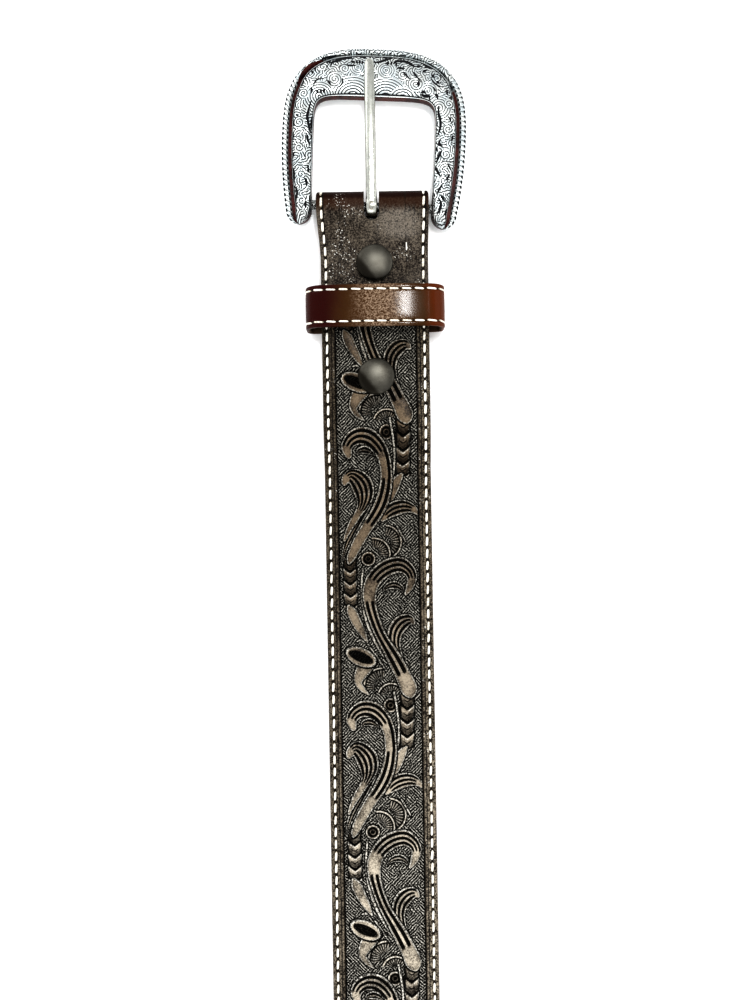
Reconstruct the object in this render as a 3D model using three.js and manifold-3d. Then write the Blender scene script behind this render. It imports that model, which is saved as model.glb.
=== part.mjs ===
// A western tooled belt lying face up, in millimetres.
// +X is to the right, +Y runs to the buckle and +Z is up. The origin is on the strap's underside, on
// its centre line. Inside the model, heights are above the underside and y is 0 at the buckle's bar.
import * as THREE from 'three';
import { mergeVertices } from 'three/addons/utils/BufferGeometryUtils.js';
import Module from 'manifold-3d';

const wasm = await Module();
wasm.setup();

// Fit
const pieceGap = 0.3;
const cutOverrun = 4;

// Strap
const barFromOrigin = 190;
const strapWidth = 38;
const strapThickness = 3.3;
const edgeRound = 0.9;
const shownLength = 283.3;
const tipLength = 26;
const borderWidth = 4.5;
const borderSlope = 0.5;
const fieldDepth = 0.45;
const fieldStart = 31;
const toolingStart = 78;
const toolingRepeat = 97.8;
const toolingRoot = 0.3;
const toolingBevel = 0.35;
const toolingInset = 0.05;

// Fold round the bar
const foldThickness = 2.4;
const flapThickness = 2;
const flapLength = 76;
const flapInset = 0.4;
const flapSkive = 5;
const foldRun = 13.5;
const foldFlare = 0.9;
const foldSideShift = -0.4;
const stepTop = 77.5;
const stepLength = 18;
const slotWidth = 5.4;
const slotBack = 5.7;

// Buckle
const barRadius = 1.6;
const barPlay = 0.3;
const buckleSideShift = -0.7;
const buckleTurn = THREE.MathUtils.degToRad(-3);
const frameReach = 57.5;
const frameHalfWidth = 32.7;
const openingReach = 38.7;
const openingHalfWidth = 21.6;
const shoulderReach = 24;
const outerSquareness = 2.85;
const openingSquareness = 6.5;
const footReach = 1.9;
const footOuter = 30.5;
const footInner = 21.3;
const archPeak = 3.4;
const archPeakReach = 18;
const faceHeight = 4.8;
const ropeWidth = 2.4;
const ropeHeight = 3.1;
const ropeDip = 0.6;
const ropeSlant = 0.45;
const ropePitch = 2.7;
const grooveWidth = 0.8;
const grooveFloor = 1.9;

// Prong
const prongReach = 51.4;
const prongWidth = 3.9;
const prongThickness = 2.7;
const prongRingWall = 2.3;

// Keeper
const keeperPlace = 36.9;
const keeperBand = 14.6;
const keeperHalfWidth = 24.5;
const keeperWall = 1.8;
const keeperCorner = 6;
const keeperFloorCorner = 3;
const keeperArch = 0.8;
const keeperBevel = 0.4;
const tailSpace = 4.6;

// Snaps
const snapPlaces = { snap_upper: 20.8, snap_lower: 60.8 };
const snapCapRadius = 6.5;
const snapCapHeight = 2.1;
const snapRim = 0.7;
const snapPostRadius = 2;
const snapFlangeRadius = 5;
const snapFlangeThickness = 0.8;

// Levels that follow from the sizes above
const foldRadius = barRadius + barPlay;
const barHeight = pieceGap + foldThickness + foldRadius;
const flapLevel = keeperWall + pieceGap;
const frontLevel = flapLevel + flapThickness + pieceGap;
const frontTop = frontLevel + strapThickness;
const stepFoot = stepTop + stepLength;
const foldReach = (strapWidth / 2 + foldFlare) * Math.tan(Math.abs(buckleTurn));

const clayBrown = new THREE.Color(0x3a2f28);
const leather = { color: clayBrown, roughness: 0.6, metalness: 0 };
const glossLeather = { color: new THREE.Color(0x3b2620), roughness: 0.35, metalness: 0 };
const silver = { color: new THREE.Color(0xc9ccd0), roughness: 0.3, metalness: 1 };
const nickel = { color: new THREE.Color(0xd2cfc6), roughness: 0.3, metalness: 1 };
const gunmetal = { color: new THREE.Color(0x3c3a38), roughness: 0.35, metalness: 1 };

const mix = THREE.MathUtils.lerp;
const smooth = (x) => THREE.MathUtils.smoothstep(x, 0, 1);

// Solids

function toSolid(geometry) {
  const bare = geometry.clone();
  bare.deleteAttribute('normal');
  bare.deleteAttribute('uv');
  const merged = mergeVertices(bare, 1e-4);
  return new wasm.Manifold(new wasm.Mesh({
    numProp: 3,
    vertProperties: new Float32Array(merged.attributes.position.array),
    triVerts: new Uint32Array(merged.index.array),
  }));
}

function toGeometry(solid) {
  const mesh = solid.getMesh();
  const geometry = new THREE.BufferGeometry();
  geometry.setAttribute('position', new THREE.BufferAttribute(mesh.vertProperties, 3));
  geometry.setIndex(new THREE.BufferAttribute(mesh.triVerts, 1));
  return geometry;
}

// A closed body through sections with equal numbers of points. Each section has a flat outline that
// runs counterclockwise and a function that places its points.
function loft(sections) {
  const count = sections[0].outline.length;
  const positions = sections.flatMap((section) => (
    section.outline.flatMap((point) => section.place(point).toArray())
  ));
  const index = [];
  for (let row = 0; row < sections.length - 1; row += 1) {
    for (let column = 0; column < count; column += 1) {
      const a = row * count + column;
      const b = row * count + ((column + 1) % count);
      index.push(a, b, b + count, a, b + count, a + count);
    }
  }
  const lastRow = (sections.length - 1) * count;
  for (const [a, b, c] of THREE.ShapeUtils.triangulateShape(sections[0].outline, [])) {
    index.push(a, c, b);
  }
  for (const [a, b, c] of THREE.ShapeUtils.triangulateShape(sections.at(-1).outline, [])) {
    index.push(lastRow + a, lastRow + b, lastRow + c);
  }
  const geometry = new THREE.BufferGeometry();
  geometry.setAttribute('position', new THREE.Float32BufferAttribute(positions, 3));
  geometry.setIndex(index);
  return geometry;
}

// Strap

// Across the leather: x over the width and y through it, the grain side up, with rounded edges and a
// tooled field that lies a little lower than the border on each side
function strapOutline(halfWidth, thickness, depth) {
  const round = Math.min(edgeRound, thickness * 0.45, halfWidth * 0.5);
  const land = Math.min(borderWidth, halfWidth * 0.5);
  const slope = Math.min(borderSlope, halfWidth * 0.2);
  const top = thickness / 2;
  const corner = (sideX, sideY, start) => [0, 1, 2].map((step) => {
    const angle = THREE.MathUtils.degToRad(start + step * 45);
    return new THREE.Vector2(
      sideX * (halfWidth - round) + round * Math.cos(angle),
      sideY * (top - round) + round * Math.sin(angle),
    );
  });
  return [
    ...corner(1, -1, -90),
    ...corner(1, 1, 0),
    new THREE.Vector2(halfWidth - land, top),
    new THREE.Vector2(halfWidth - land - slope, top - depth),
    new THREE.Vector2(land + slope - halfWidth, top - depth),
    new THREE.Vector2(land - halfWidth, top),
    ...corner(-1, 1, 90),
    ...corner(-1, -1, 180),
  ];
}

// Stations along the middle of the leather, from the end of the flap round the fold to the tip
function strapStations() {
  const stations = [];
  const add = (back, height, thickness, halfWidth, sideShift, depth) => {
    stations.push({ back, height, thickness, halfWidth, sideShift, depth });
  };
  const loose = (back) => 1 - smooth(back / foldRun);
  const flare = (back) => 1 - smooth(back / (foldRun * 1.5));

  const foldSteps = [1, 0.8, 0.6, 0.4, 0.25, 0.1, 0];
  const flapStops = [flapLength, flapLength - flapSkive, mix(foldRun, flapLength, 0.5)];
  for (const back of [...flapStops, ...foldSteps.map((share) => share * foldRun)]) {
    const thick = mix(flapThickness, foldThickness, loose(back));
    const skive = back === flapLength ? 0.5 : 1;
    const bottom = mix(flapLevel, pieceGap, loose(back));
    const halfWidth = strapWidth / 2 - flapInset + flare(back) * (foldFlare + flapInset);
    const height = bottom + thick * (1 - skive / 2);
    add(back, height, thick * skive, halfWidth, foldSideShift * flare(back), 0);
  }
  const turnSteps = 12;
  for (let step = 1; step < turnSteps; step += 1) {
    const angle = Math.PI * (step / turnSteps - 0.5);
    const radius = foldRadius + foldThickness / 2;
    const back = -foldReach - radius * Math.cos(angle);
    add(back, barHeight + radius * Math.sin(angle), foldThickness,
      strapWidth / 2 + foldFlare, foldSideShift, 0);
  }
  for (const back of foldSteps.map((share) => share * foldRun).reverse()) {
    const thick = mix(strapThickness, foldThickness, loose(back));
    const bottom = mix(frontLevel, barHeight + foldRadius, loose(back));
    const halfWidth = strapWidth / 2 + flare(back) * foldFlare;
    add(back, bottom + thick / 2, thick, halfWidth, foldSideShift * flare(back), 0);
  }
  const flatStops = [mix(foldRun, fieldStart, 0.6), fieldStart, fieldStart + borderSlope * 2];
  for (const back of [...flatStops, mix(fieldStart, stepTop, 0.5)]) {
    const depth = back > fieldStart ? fieldDepth : 0;
    add(back, frontTop - strapThickness / 2, strapThickness, strapWidth / 2, 0, depth);
  }
  const stepSteps = 9;
  for (let step = 0; step <= stepSteps; step += 1) {
    const bottom = frontLevel * (1 - smooth(step / stepSteps));
    add(stepTop + (stepLength * step) / stepSteps, bottom + strapThickness / 2, strapThickness,
      strapWidth / 2, 0, fieldDepth);
  }
  for (const share of [0.35, 0.7]) {
    add(mix(stepFoot, shownLength, share), strapThickness / 2, strapThickness, strapWidth / 2, 0,
      fieldDepth);
  }
  const tipSteps = 9;
  for (let step = 0; step <= tipSteps; step += 1) {
    const angle = THREE.MathUtils.degToRad((84 * step) / tipSteps);
    add(shownLength + tipLength * Math.sin(angle), strapThickness / 2, strapThickness,
      (strapWidth / 2) * Math.cos(angle), 0, fieldDepth);
  }
  return stations;
}

// Tooling

// One repeat of the raised stems and leaves, charted by hand. A path's rows give how far across it
// is, as a percentage of the field's half width to the right, how far along the repeat, as a
// percentage of its length, and how wide, as a percentage of the field's half width.
const stems = [
  { steps: 15, path: [
    [-73, 49.5, 7], [-52, 41.8, 26], [-11, 32, 30], [16, 22.4, 28], [20, 13.3, 26], [-3, 5.7, 30],
    [-47, 2.4, 31], [-77, 6.9, 22], [-70, 10.1, 12],
  ] },
  { steps: 7, path: [[-51, 33.6, 15], [-31, 27, 43], [-33, 23, 47], [-61, 18.5, 32], [-82, 20.7, 12]] },
  { steps: 4, path: [[-57, 34.2, 18], [-73, 38.8, 14], [-84, 50, 5]] },
  { steps: 4, path: [[-27, 31, 7], [-52, 36.5, 14], [-78, 43.5, 13], [-84, 48.6, 5]] },
  { steps: 4, path: [[52, 20.1, 12], [30, 27.9, 19], [6, 34.6, 7]] },
  { steps: 5, path: [[25, 34.6, 12], [34, 31.8, 24], [62, 28.8, 29], [92, 31.2, 10]] },
  { steps: 15, path: [
    [71, 98.1, 22], [64, 95, 41], [36, 85.9, 36], [3, 77.2, 28], [-19, 68.6, 27], [-25, 60.3, 30],
    [1, 53.5, 34], [52, 50.8, 31], [80, 55.5, 26], [64, 61, 10],
  ] },
  { steps: 4, path: [[-68, 65.8, 14], [-55, 72, 22], [-29, 80.4, 8]] },
  { steps: 7, path: [[48, 83.5, 11], [34, 76.8, 28], [47, 70.8, 27], [78, 72, 11]] },
  { steps: 4, path: [[-36, 87.6, 30], [-52, 92.5, 22], [-32, 98.4, 9]] },
];
const leafLoop = { across: -49, along: 84.3, long: 40, broad: 21.5, hollow: 0.7, turn: -24 };
const fans = [
  { across: 14, along: 42.3, radius: 43, from: -70, to: 85 },
  { across: -12, along: 46.6, radius: 41, from: -15, to: 100 },
  { across: 2, along: 95.1, radius: 47, from: 78, to: 195 },
  { across: 24, along: 98.9, radius: 35, from: 40, to: 165 },
];
const berries = [
  { across: -27, along: 48.4, radius: 18 },
  { across: 22, along: 2.1, radius: 18 },
];

const fieldHalf = strapWidth / 2 - borderWidth;
const percentAcross = (value) => (value / 100) * fieldHalf;
const stepShare = (back) => 1 - smooth((back - stepTop) / stepLength);
const grainHeight = (back) => frontLevel * stepShare(back) + strapThickness;

// Sinks a body that was made flat, its z counted from the border's level, into the grain side
function layOnGrain(geometry) {
  const place = geometry.attributes.position;
  for (let number = 0; number < place.count; number += 1) {
    place.setZ(number, place.getZ(number) + grainHeight(-place.getY(number)));
  }
  return geometry;
}

function makeStem(stem, start) {
  const curve = new THREE.CatmullRomCurve3(stem.path.map(([across, along, wide]) => (
    new THREE.Vector3(
      percentAcross(across),
      -start - (along / 100) * toolingRepeat,
      percentAcross(wide),
    )
  )));
  const sections = curve.getPoints(stem.steps).map((middle, number) => {
    const forward = curve.getTangent(number / stem.steps).setZ(0).normalize();
    const halfWidth = middle.z / 2;
    const shoulder = Math.max(halfWidth - toolingBevel, halfWidth * 0.4);
    const bottom = -fieldDepth - toolingRoot;
    return {
      outline: [
        new THREE.Vector2(halfWidth, bottom),
        new THREE.Vector2(shoulder, -toolingInset),
        new THREE.Vector2(-shoulder, -toolingInset),
        new THREE.Vector2(-halfWidth, bottom),
      ],
      place: (point) => new THREE.Vector3(
        middle.x - forward.y * point.x,
        middle.y + forward.x * point.x,
        point.y,
      ),
    };
  });
  return layOnGrain(loft(sections));
}

// A flat raised shape, drawn in place and stopped a share of the field's depth below the border
function makeRaised(shape, sunkShare, curveSegments) {
  const top = -toolingInset - sunkShare * fieldDepth;
  const bottom = -fieldDepth - toolingRoot;
  const geometry = new THREE.ExtrudeGeometry(shape, {
    depth: top - bottom, bevelEnabled: false, curveSegments,
  });
  geometry.translate(0, 0, bottom);
  return layOnGrain(geometry);
}

// The raised bodies of one repeat that begins this far behind the bar
function toolingRepeatBodies(start) {
  const bodies = [];
  const backOf = (along) => start + (along / 100) * toolingRepeat;
  for (const fan of fans) {
    const x = percentAcross(fan.across);
    const y = -backOf(fan.along);
    const shape = new THREE.Shape();
    shape.moveTo(x, y);
    shape.absarc(x, y, percentAcross(fan.radius), THREE.MathUtils.degToRad(fan.from),
      THREE.MathUtils.degToRad(fan.to), false);
    shape.closePath();
    bodies.push(makeRaised(shape, 0.4, 5));
  }
  bodies.push(...stems.map((stem) => makeStem(stem, start)));

  const loopX = percentAcross(leafLoop.across);
  const loopY = -backOf(leafLoop.along);
  const turn = THREE.MathUtils.degToRad(leafLoop.turn);
  const ellipse = (path, share, clockwise) => path.absellipse(loopX, loopY,
    percentAcross(leafLoop.long) * share, percentAcross(leafLoop.broad) * share,
    0, 2 * Math.PI, clockwise, turn);
  const loop = ellipse(new THREE.Shape(), 1, false);
  loop.holes.push(ellipse(new THREE.Path(), leafLoop.hollow, true));
  bodies.push(makeRaised(loop, 0, 6));

  for (const berry of berries) {
    const shape = new THREE.Shape();
    shape.absarc(percentAcross(berry.across), -backOf(berry.along), percentAcross(berry.radius),
      0, 2 * Math.PI, false);
    bodies.push(makeRaised(shape, 0, 5));
  }
  return bodies;
}

function addTooling(strap) {
  let solid = strap;
  const repeatsBack = Math.ceil((toolingStart - fieldStart) / toolingRepeat);
  const repeatsOn = Math.ceil((shownLength - toolingStart) / toolingRepeat);
  const frontEnd = -fieldStart - borderSlope * 2;
  const backEnd = -shownLength - tipLength / 3;
  for (let repeat = -repeatsBack; repeat < repeatsOn; repeat += 1) {
    for (const body of toolingRepeatBodies(toolingStart + repeat * toolingRepeat)) {
      body.computeBoundingBox();
      const { min, max } = body.boundingBox;
      if (max.y < frontEnd && min.y > backEnd) {
        solid = solid.add(toSolid(body));
      }
    }
  }
  return solid;
}

function makeStrap() {
  const stations = strapStations();
  const sections = stations.map((station, number) => {
    const before = stations[Math.max(number - 1, 0)];
    const after = stations[Math.min(number + 1, stations.length - 1)];
    const run = new THREE.Vector2(before.back - after.back, after.height - before.height).normalize();
    const depth = station.halfWidth < borderWidth ? 0 : station.depth;
    return {
      outline: strapOutline(station.halfWidth, station.thickness, depth),
      place: (point) => new THREE.Vector3(
        station.sideShift + point.x,
        -station.back + run.y * point.y,
        station.height - run.x * point.y,
      ),
    };
  });
  let solid = addTooling(toSolid(loft(sections)));

  const slotRound = slotWidth / 2;
  const slotFront = foldReach + foldRadius + foldThickness + cutOverrun;
  const slot = new THREE.Shape();
  slot.absarc(buckleSideShift, slotRound - slotBack, slotRound, Math.PI, 2 * Math.PI, false);
  slot.lineTo(buckleSideShift + slotRound, slotFront);
  slot.lineTo(buckleSideShift - slotRound, slotFront);
  slot.closePath();
  const slotCut = new THREE.ExtrudeGeometry(slot, {
    depth: frontTop + 2 * cutOverrun, bevelEnabled: false, curveSegments: 10,
  });
  slotCut.translate(0, 0, -cutOverrun);
  solid = solid.subtract(toSolid(slotCut));

  for (const place of Object.values(snapPlaces)) {
    const hole = new THREE.CylinderGeometry(
      snapPostRadius + pieceGap, snapPostRadius + pieceGap, frontTop + 2 * cutOverrun, 20);
    hole.rotateX(Math.PI / 2);
    hole.translate(0, -place, frontTop / 2);
    solid = solid.subtract(toSolid(hole));
  }
  return toGeometry(solid);
}

// Keeper

function loopPath(path, inset, top) {
  const halfWidth = keeperHalfWidth - inset;
  const corner = keeperCorner - inset;
  const floorCorner = keeperFloorCorner - inset;
  path.moveTo(0, inset);
  path.lineTo(halfWidth - floorCorner, inset);
  path.absarc(halfWidth - floorCorner, inset + floorCorner, floorCorner, -Math.PI / 2, 0, false);
  path.lineTo(halfWidth, top - corner);
  path.absarc(halfWidth - corner, top - corner, corner, 0, Math.PI / 2, false);
  path.quadraticCurveTo(0, top + 2 * keeperArch, corner - halfWidth, top);
  path.absarc(corner - halfWidth, top - corner, corner, Math.PI / 2, Math.PI, false);
  path.lineTo(-halfWidth, inset + floorCorner);
  path.absarc(floorCorner - halfWidth, inset + floorCorner, floorCorner, Math.PI,
    1.5 * Math.PI, false);
  path.closePath();
  return path;
}

function makeKeeper() {
  const insideTop = frontTop + tailSpace;
  const loop = loopPath(new THREE.Shape(), 0, insideTop + keeperWall);
  loop.holes.push(loopPath(new THREE.Path(), keeperWall, insideTop));
  const geometry = new THREE.ExtrudeGeometry(loop, {
    depth: keeperBand - 2 * keeperBevel,
    bevelThickness: keeperBevel,
    bevelSize: keeperBevel,
    bevelOffset: -keeperBevel,
    bevelSegments: 1,
    curveSegments: 5,
  });
  geometry.rotateX(Math.PI / 2);
  geometry.translate(0, keeperBand / 2 - keeperBevel - keeperPlace, 0);
  return toGeometry(toSolid(geometry));
}

// Snaps

// The domed cap, the post through both layers and the flange behind them, turned about one axis
function makeSnap() {
  const capBottom = frontTop + pieceGap;
  const flangeTop = flapLevel - pieceGap;
  const profile = [
    new THREE.Vector2(0, flangeTop - snapFlangeThickness),
    new THREE.Vector2(snapFlangeRadius, flangeTop - snapFlangeThickness),
    new THREE.Vector2(snapFlangeRadius, flangeTop),
    new THREE.Vector2(snapPostRadius, flangeTop),
    new THREE.Vector2(snapPostRadius, capBottom),
    new THREE.Vector2(snapCapRadius, capBottom),
  ];
  const domeSteps = 5;
  for (let step = 0; step <= domeSteps; step += 1) {
    const angle = (Math.PI / 2) * (step / domeSteps);
    profile.push(new THREE.Vector2(
      snapCapRadius * Math.cos(angle),
      capBottom + snapRim + (snapCapHeight - snapRim) * Math.sin(angle),
    ));
  }
  profile[profile.length - 1].x = 0;
  const geometry = new THREE.LatheGeometry(profile, 20);
  geometry.rotateX(Math.PI / 2);
  return toGeometry(toSolid(geometry));
}

// Buckle frame

// One edge of the frame, from the left foot up the arm, over the top and down to the right foot
class FrameEdge extends THREE.Curve {
  constructor(footX, halfWidth, reach, squareness) {
    super();
    this.footX = footX;
    this.halfWidth = halfWidth;
    this.rise = reach - shoulderReach;
    this.squareness = squareness;
  }

  getPoint(t, target = new THREE.Vector3()) {
    const armShare = 0.18;
    const side = t < 0.5 ? -1 : 1;
    const fromFoot = Math.min(t, 1 - t) / armShare;
    if (fromFoot < 1) {
      const spread = mix(this.footX, this.halfWidth, 1 - (1 - fromFoot) ** 2);
      return target.set(side * spread, mix(-footReach, shoulderReach, fromFoot), 0);
    }
    const angle = Math.PI * (1 - (t - armShare) / (1 - 2 * armShare));
    const across = Math.abs(Math.cos(angle)) / this.halfWidth;
    const along = Math.abs(Math.sin(angle)) / this.rise;
    const power = this.squareness;
    const radius = (across ** power + along ** power) ** (-1 / power);
    return target.set(radius * Math.cos(angle), shoulderReach + radius * Math.sin(angle), 0);
  }
}

// The cast section: at is the share of the face, of the groove or of the rope that it names, counted
// from the opening, and height is a share of the height in of
const castSection = [
  { zone: 'face', at: 0, height: 0, of: faceHeight },
  { zone: 'rope', at: 0.9, height: 0, of: ropeHeight },
  { zone: 'rope', at: 1, height: 0.4, of: ropeHeight },
  { zone: 'rope', at: 0.88, height: 0.86, of: ropeHeight, strand: 1 },
  { zone: 'rope', at: 0.5, height: 1, of: ropeHeight, strand: 0 },
  { zone: 'rope', at: 0.1, height: 0.84, of: ropeHeight, strand: -1 },
  { zone: 'groove', at: 0.95, height: 1, of: grooveFloor },
  { zone: 'groove', at: 0.05, height: 1, of: grooveFloor },
  { zone: 'face', at: 0.99, height: 0.66, of: faceHeight },
  { zone: 'face', at: 0.94, height: 0.76, of: faceHeight },
  { zone: 'face', at: 0.75, height: 0.93, of: faceHeight },
  { zone: 'face', at: 0.48, height: 1, of: faceHeight },
  { zone: 'face', at: 0.22, height: 0.93, of: faceHeight },
  { zone: 'face', at: 0.05, height: 0.75, of: faceHeight },
  { zone: 'face', at: 0, height: 0.64, of: faceHeight },
];

const archFall = archPeak / (frameReach - archPeakReach) ** 2;
const archHeight = (reach) => archPeak - archFall * (reach - archPeakReach) ** 2;

function castRing(inner, outer, forward, number) {
  const width = inner.distanceTo(outer);
  const fit = Math.min(1, width / (footOuter - footInner));
  const rope = ropeWidth * fit;
  const groove = grooveWidth * fit;
  const face = width - rope - groove;
  const zones = {
    face: (at) => at * face,
    groove: (at) => face + at * groove,
    rope: (at) => face + groove + at * rope,
  };
  return castSection.map((row) => {
    const across = zones[row.zone](row.at) / width;
    const point = new THREE.Vector3().lerpVectors(inner, outer, across);
    let lift = row.height * row.of * Math.sqrt(fit);
    if (row.strand !== undefined) {
      point.addScaledVector(forward, row.strand * ropeSlant * fit);
      lift -= number % 2 ? ropeDip * fit : 0;
    }
    return point.setZ(archHeight(point.y) + lift);
  });
}

function makeFrame() {
  const outer = new FrameEdge(footOuter, frameHalfWidth, frameReach, outerSquareness);
  const inner = new FrameEdge(footInner, openingHalfWidth, openingReach, openingSquareness);
  const count = 2 * Math.round(outer.getLength() / ropePitch);
  const rings = [];
  const addRing = (innerPoint, outerPoint, forward) => {
    rings.push(castRing(innerPoint, outerPoint, forward, rings.length));
  };
  const footSteps = 6;
  const footEnd = (side, step) => {
    const angle = THREE.MathUtils.degToRad((78 * step) / footSteps);
    const radius = (footOuter - footInner) / 2;
    const middle = side * (footOuter + footInner) / 2;
    const reach = -footReach - radius * Math.sin(angle);
    addRing(
      new THREE.Vector3(middle - side * radius * Math.cos(angle), reach, 0),
      new THREE.Vector3(middle + side * radius * Math.cos(angle), reach, 0),
      new THREE.Vector3(0, -side, 0),
    );
  };
  for (let step = footSteps; step > 0; step -= 1) {
    footEnd(-1, step);
  }
  for (let step = 0; step <= count; step += 1) {
    const t = outer.getUtoTmapping(step / count);
    addRing(inner.getPoint(t), outer.getPoint(t), outer.getTangent(t));
  }
  for (let step = 1; step <= footSteps; step += 1) {
    footEnd(1, step);
  }
  // Seen along the path the section runs clockwise in plan, so the flat outline for the end caps
  // takes the distance from the ring's first point and the height
  const sections = rings.map((ring) => ({
    outline: ring.map((point) => new THREE.Vector2(
      Math.hypot(point.x - ring[0].x, point.y - ring[0].y), point.z)),
    points: ring,
  }));
  for (const section of sections) {
    section.place = (flat) => section.points[section.outline.indexOf(flat)];
  }
  const cast = toSolid(loft(sections));
  const barLength = footOuter + footInner - 2;
  const bar = new THREE.CylinderGeometry(barRadius, barRadius, barLength, 20);
  bar.rotateZ(Math.PI / 2);
  bar.translate(0, 0, barHeight);
  return toGeometry(cast.add(toSolid(bar)));
}

// Prong

// Along the shank: reach as a share of the prong's, rise above the ring's middle line as a share of
// the thickness, and width and thickness as shares of their own sizes
const shankSections = [
  { reach: 0.00, rise: 0.00, width: 0.94, thickness: 0.72 },
  { reach: 0.10, rise: 0.05, width: 0.98, thickness: 0.86 },
  { reach: 0.24, rise: 0.17, width: 1.00, thickness: 1.00 },
  { reach: 0.50, rise: 0.38, width: 1.00, thickness: 1.00 },
  { reach: 0.72, rise: 0.38, width: 0.97, thickness: 1.00 },
  { reach: 0.86, rise: 0.30, width: 0.92, thickness: 0.98 },
  { reach: 0.94, rise: 0.17, width: 0.88, thickness: 0.90 },
  { reach: 0.975, rise: 0.08, width: 0.78, thickness: 0.78 },
  { reach: 0.993, rise: 0.03, width: 0.55, thickness: 0.55 },
  { reach: 1.00, rise: 0.00, width: 0.25, thickness: 0.28 },
];

function makeProng() {
  const ringOuter = foldRadius + prongRingWall;
  const ringMiddle = foldRadius + prongRingWall / 2;
  const ringShape = new THREE.Shape();
  ringShape.absarc(0, 0, ringOuter, 0, 2 * Math.PI, false);
  const eye = new THREE.Path();
  eye.absarc(0, 0, foldRadius, 0, 2 * Math.PI, true);
  ringShape.holes.push(eye);
  const ringBevel = 0.5;
  const ring = new THREE.ExtrudeGeometry(ringShape, {
    depth: prongWidth - 2 * ringBevel,
    bevelThickness: ringBevel,
    bevelSize: ringBevel,
    bevelOffset: -ringBevel,
    bevelSegments: 1,
    curveSegments: 12,
  });
  ring.translate(0, 0, ringBevel - prongWidth / 2);
  ring.rotateX(Math.PI / 2);
  ring.rotateZ(Math.PI / 2);

  const sides = 12;
  const sections = shankSections.map((row) => {
    const outline = [];
    for (let side = 0; side < sides; side += 1) {
      const angle = (2 * Math.PI * (side + 0.5)) / sides;
      const bulge = 0.75;
      const round = (value) => Math.sign(value) * Math.abs(value) ** bulge;
      outline.push(new THREE.Vector2(
        (round(Math.cos(angle)) * row.width * prongWidth) / 2,
        (round(Math.sin(angle)) * row.thickness * prongThickness) / 2,
      ));
    }
    return {
      outline,
      place: (point) => new THREE.Vector3(
        -point.x,
        row.reach * prongReach,
        ringMiddle + row.rise * prongThickness + point.y,
      ),
    };
  });
  const solid = toSolid(ring).add(toSolid(loft(sections)));
  return toGeometry(solid);
}

// Assembly

function addPiece(parent, name, geometry, look) {
  const flat = geometry.index ? geometry.toNonIndexed() : geometry;
  flat.computeVertexNormals();
  const mesh = new THREE.Mesh(flat, new THREE.MeshStandardMaterial(look));
  mesh.name = name;
  parent.add(mesh);
  return mesh;
}

const group = new THREE.Group();
group.position.set(0, barFromOrigin, 0);
addPiece(group, 'strap', makeStrap(), leather);
addPiece(group, 'keeper', makeKeeper(), glossLeather);
for (const [name, place] of Object.entries(snapPlaces)) {
  addPiece(group, name, makeSnap(), gunmetal).position.set(0, -place, 0);
}

const buckle = new THREE.Group();
buckle.position.set(buckleSideShift, 0, 0);
buckle.rotation.z = buckleTurn;
group.add(buckle);
addPiece(buckle, 'buckle_frame', makeFrame(), silver);

// The tongue points along the strap while the frame has turned a little on it
const prong = addPiece(buckle, 'prong', makeProng(), nickel);
prong.position.set(0, 0, barHeight);
prong.rotation.z = -buckleTurn;

export default group;
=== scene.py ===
import math

import bmesh
import bpy
import numpy as np
from mathutils import Matrix, Vector


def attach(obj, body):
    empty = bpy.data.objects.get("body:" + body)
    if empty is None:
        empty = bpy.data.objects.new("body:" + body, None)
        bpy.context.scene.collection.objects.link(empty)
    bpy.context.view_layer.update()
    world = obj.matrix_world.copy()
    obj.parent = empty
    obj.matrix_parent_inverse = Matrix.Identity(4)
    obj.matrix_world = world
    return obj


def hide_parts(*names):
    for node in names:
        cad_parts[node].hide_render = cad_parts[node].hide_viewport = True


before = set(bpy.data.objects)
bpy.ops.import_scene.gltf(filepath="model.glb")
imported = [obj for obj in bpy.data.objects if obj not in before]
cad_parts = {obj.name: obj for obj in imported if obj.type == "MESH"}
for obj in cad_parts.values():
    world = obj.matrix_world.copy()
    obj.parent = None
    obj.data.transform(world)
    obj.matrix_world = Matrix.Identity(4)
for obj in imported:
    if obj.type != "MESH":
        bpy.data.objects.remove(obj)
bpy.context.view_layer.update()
scene = bpy.context.scene
rng = np.random.default_rng(38)

mm = 0.001
barRow = 190.0  # the buckle's bar is this far up the frame's Y, in mm


def smoothStep(x):
    x = np.clip(x, 0.0, 1.0)
    return x * x * (3.0 - 2.0 * x)


def blendOf(a, b, share):
    return a + (b - a) * share


# Shader nodes, written as sums of sockets


class Link:
    def __init__(self, finish, socket):
        self.finish = finish
        self.socket = socket

    def out(self, name):
        return Link(self.finish, self.socket.node.outputs[name])

    def __add__(self, other):
        return self.finish.maths("ADD", self, other)

    def __radd__(self, other):
        return self.finish.maths("ADD", other, self)

    def __sub__(self, other):
        return self.finish.maths("SUBTRACT", self, other)

    def __rsub__(self, other):
        return self.finish.maths("SUBTRACT", other, self)

    def __mul__(self, other):
        return self.finish.maths("MULTIPLY", self, other)

    def __rmul__(self, other):
        return self.finish.maths("MULTIPLY", other, self)

    def __truediv__(self, other):
        return self.finish.maths("DIVIDE", self, other)

    def __pow__(self, other):
        return self.finish.maths("POWER", self, other)


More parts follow.
